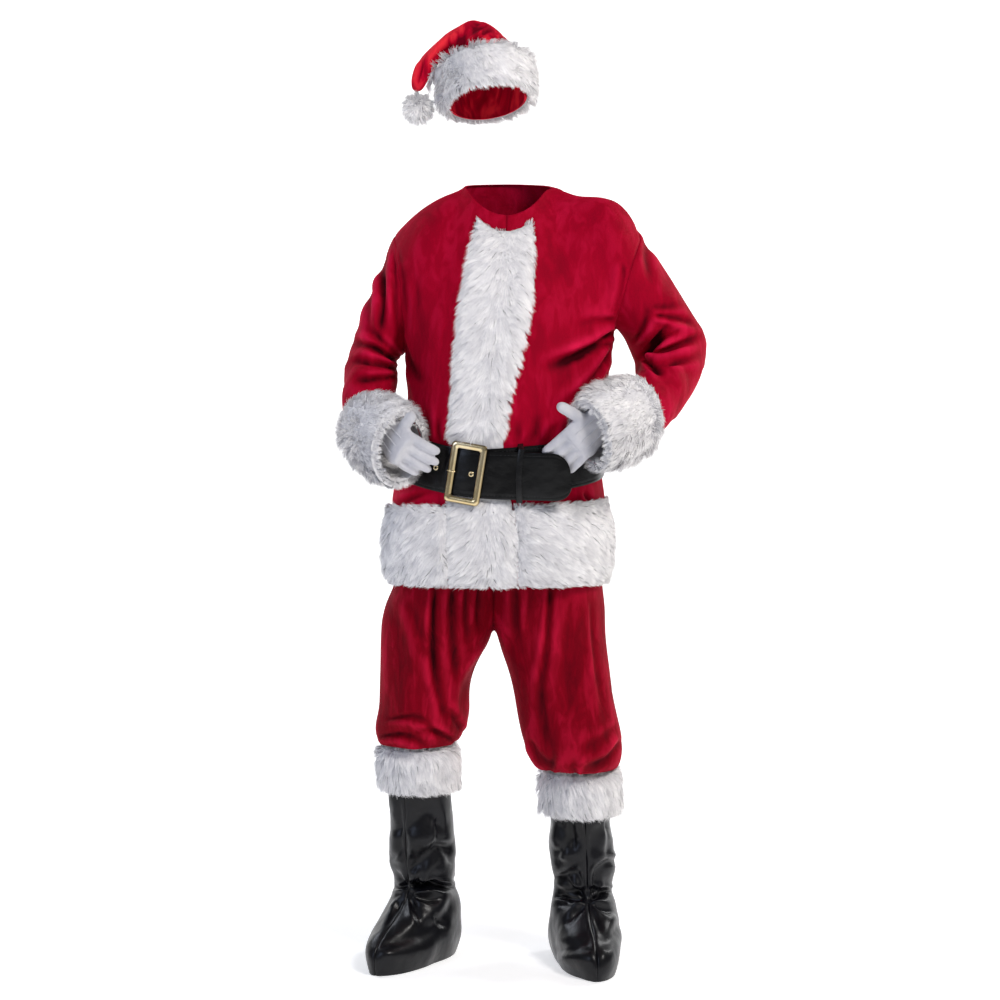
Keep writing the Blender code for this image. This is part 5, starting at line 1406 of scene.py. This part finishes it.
furred("fur_hat_brim", ("hat_crown_front", "hat_crown_back"), (0.5, 0, -0.6), 0.026, 0.50, 9, loose=0.003)
furred("fur_pompom", (), (0, 0, -0.5), 0.026, 0.12, 10, density=POMPOM_DENSITY, loose=0.009)


# Floor, light and camera -----------------------------------
# A plain pale floor with a lit backdrop far behind the suit, soft light from the front and both sides.

FLOOR_HALF_WIDTH = 9.0
CAMERA_LENS, CAMERA_DOWN = 77.5, 2.53  # millimetres and degrees
sweep = [(7.0 + 1.2 * math.sin(t), 1.2 - 1.2 * math.cos(t)) for t in np.linspace(0, math.pi / 2, 12)]


def staged(name, profile, glow):
    """Floor or backdrop: a profile of depth and height drawn out sideways, which glows a little."""
    points = [(x, y, cad_box[0].z + z) for y, z in profile for x in (-FLOOR_HALF_WIDTH, FLOOR_HALF_WIDTH)]
    mesh = bpy.data.meshes.new(name)
    mesh.from_pydata(points, [], [(2 * i, 2 * i + 1, 2 * i + 3, 2 * i + 2) for i in range(len(profile) - 1)])
    mesh.shade_smooth()
    paper, shader = new_material(f"{name}_paper", (0.90, 0.90, 0.90), 0.9)
    shader.inputs["Emission Color"].default_value = (1, 1, 1, 1)
    shader.inputs["Emission Strength"].default_value = glow
    new_object(name, mesh, paper)


staged("floor", [(-7.0, 0.0), (1.6, 0.0)], 0.46)
staged("backdrop", [(1.6, 0.0), *sweep, (8.2, 5.0)], 0.85)

SOFT_LIGHTS = table(
    "name x y z width height power colour",
    ("key", 1.9, -2.5, 2.1, 1.1, 1.1, 92, (1.0, 0.97, 0.94)),
    ("fill", -2.8, -2.6, 0.8, 1.6, 2.0, 27, (0.62, 0.73, 1.0)),
    ("rim_right", -2.0, 1.6, 1.2, 0.6, 1.8, 26, (0.85, 0.90, 1.0)),
    ("rim_left", 2.2, 1.5, 0.8, 0.6, 1.8, 30, (1.0, 1.0, 1.0)),
)
for row in SOFT_LIGHTS:
    lamp = bpy.data.lights.new(row.name, "AREA")
    lamp.shape, lamp.size, lamp.size_y = "RECTANGLE", row.width, row.height
    lamp.energy, lamp.color = row.power, row.colour
    light = bpy.data.objects.new(row.name, lamp)
    light.location = (row.x, row.y, row.z)
    aim = Vector((0, 0, -0.6)) - light.location
    light.rotation_euler = aim.to_track_quat("-Z", "Y").to_euler()
    bpy.context.scene.collection.objects.link(light)

world = bpy.data.worlds.new("studio")
world.use_nodes = True
feed(world, world.node_tree.nodes["Background"], {"Color": (0.97, 0.98, 1.0, 1), "Strength": 0.20})
bpy.context.scene.world = world
bpy.context.scene.view_settings.view_transform = "Standard"

eye = bpy.data.cameras.new("camera")
eye.sensor_width, eye.lens = 36.0, CAMERA_LENS
camera = bpy.data.objects.new("camera", eye)
camera.location = (0, -VIEW_DISTANCE, VIEW_HEIGHT)
camera.rotation_euler = (math.radians(90 - CAMERA_DOWN), 0, 0)
bpy.context.scene.collection.objects.link(camera)
bpy.context.scene.camera = camera
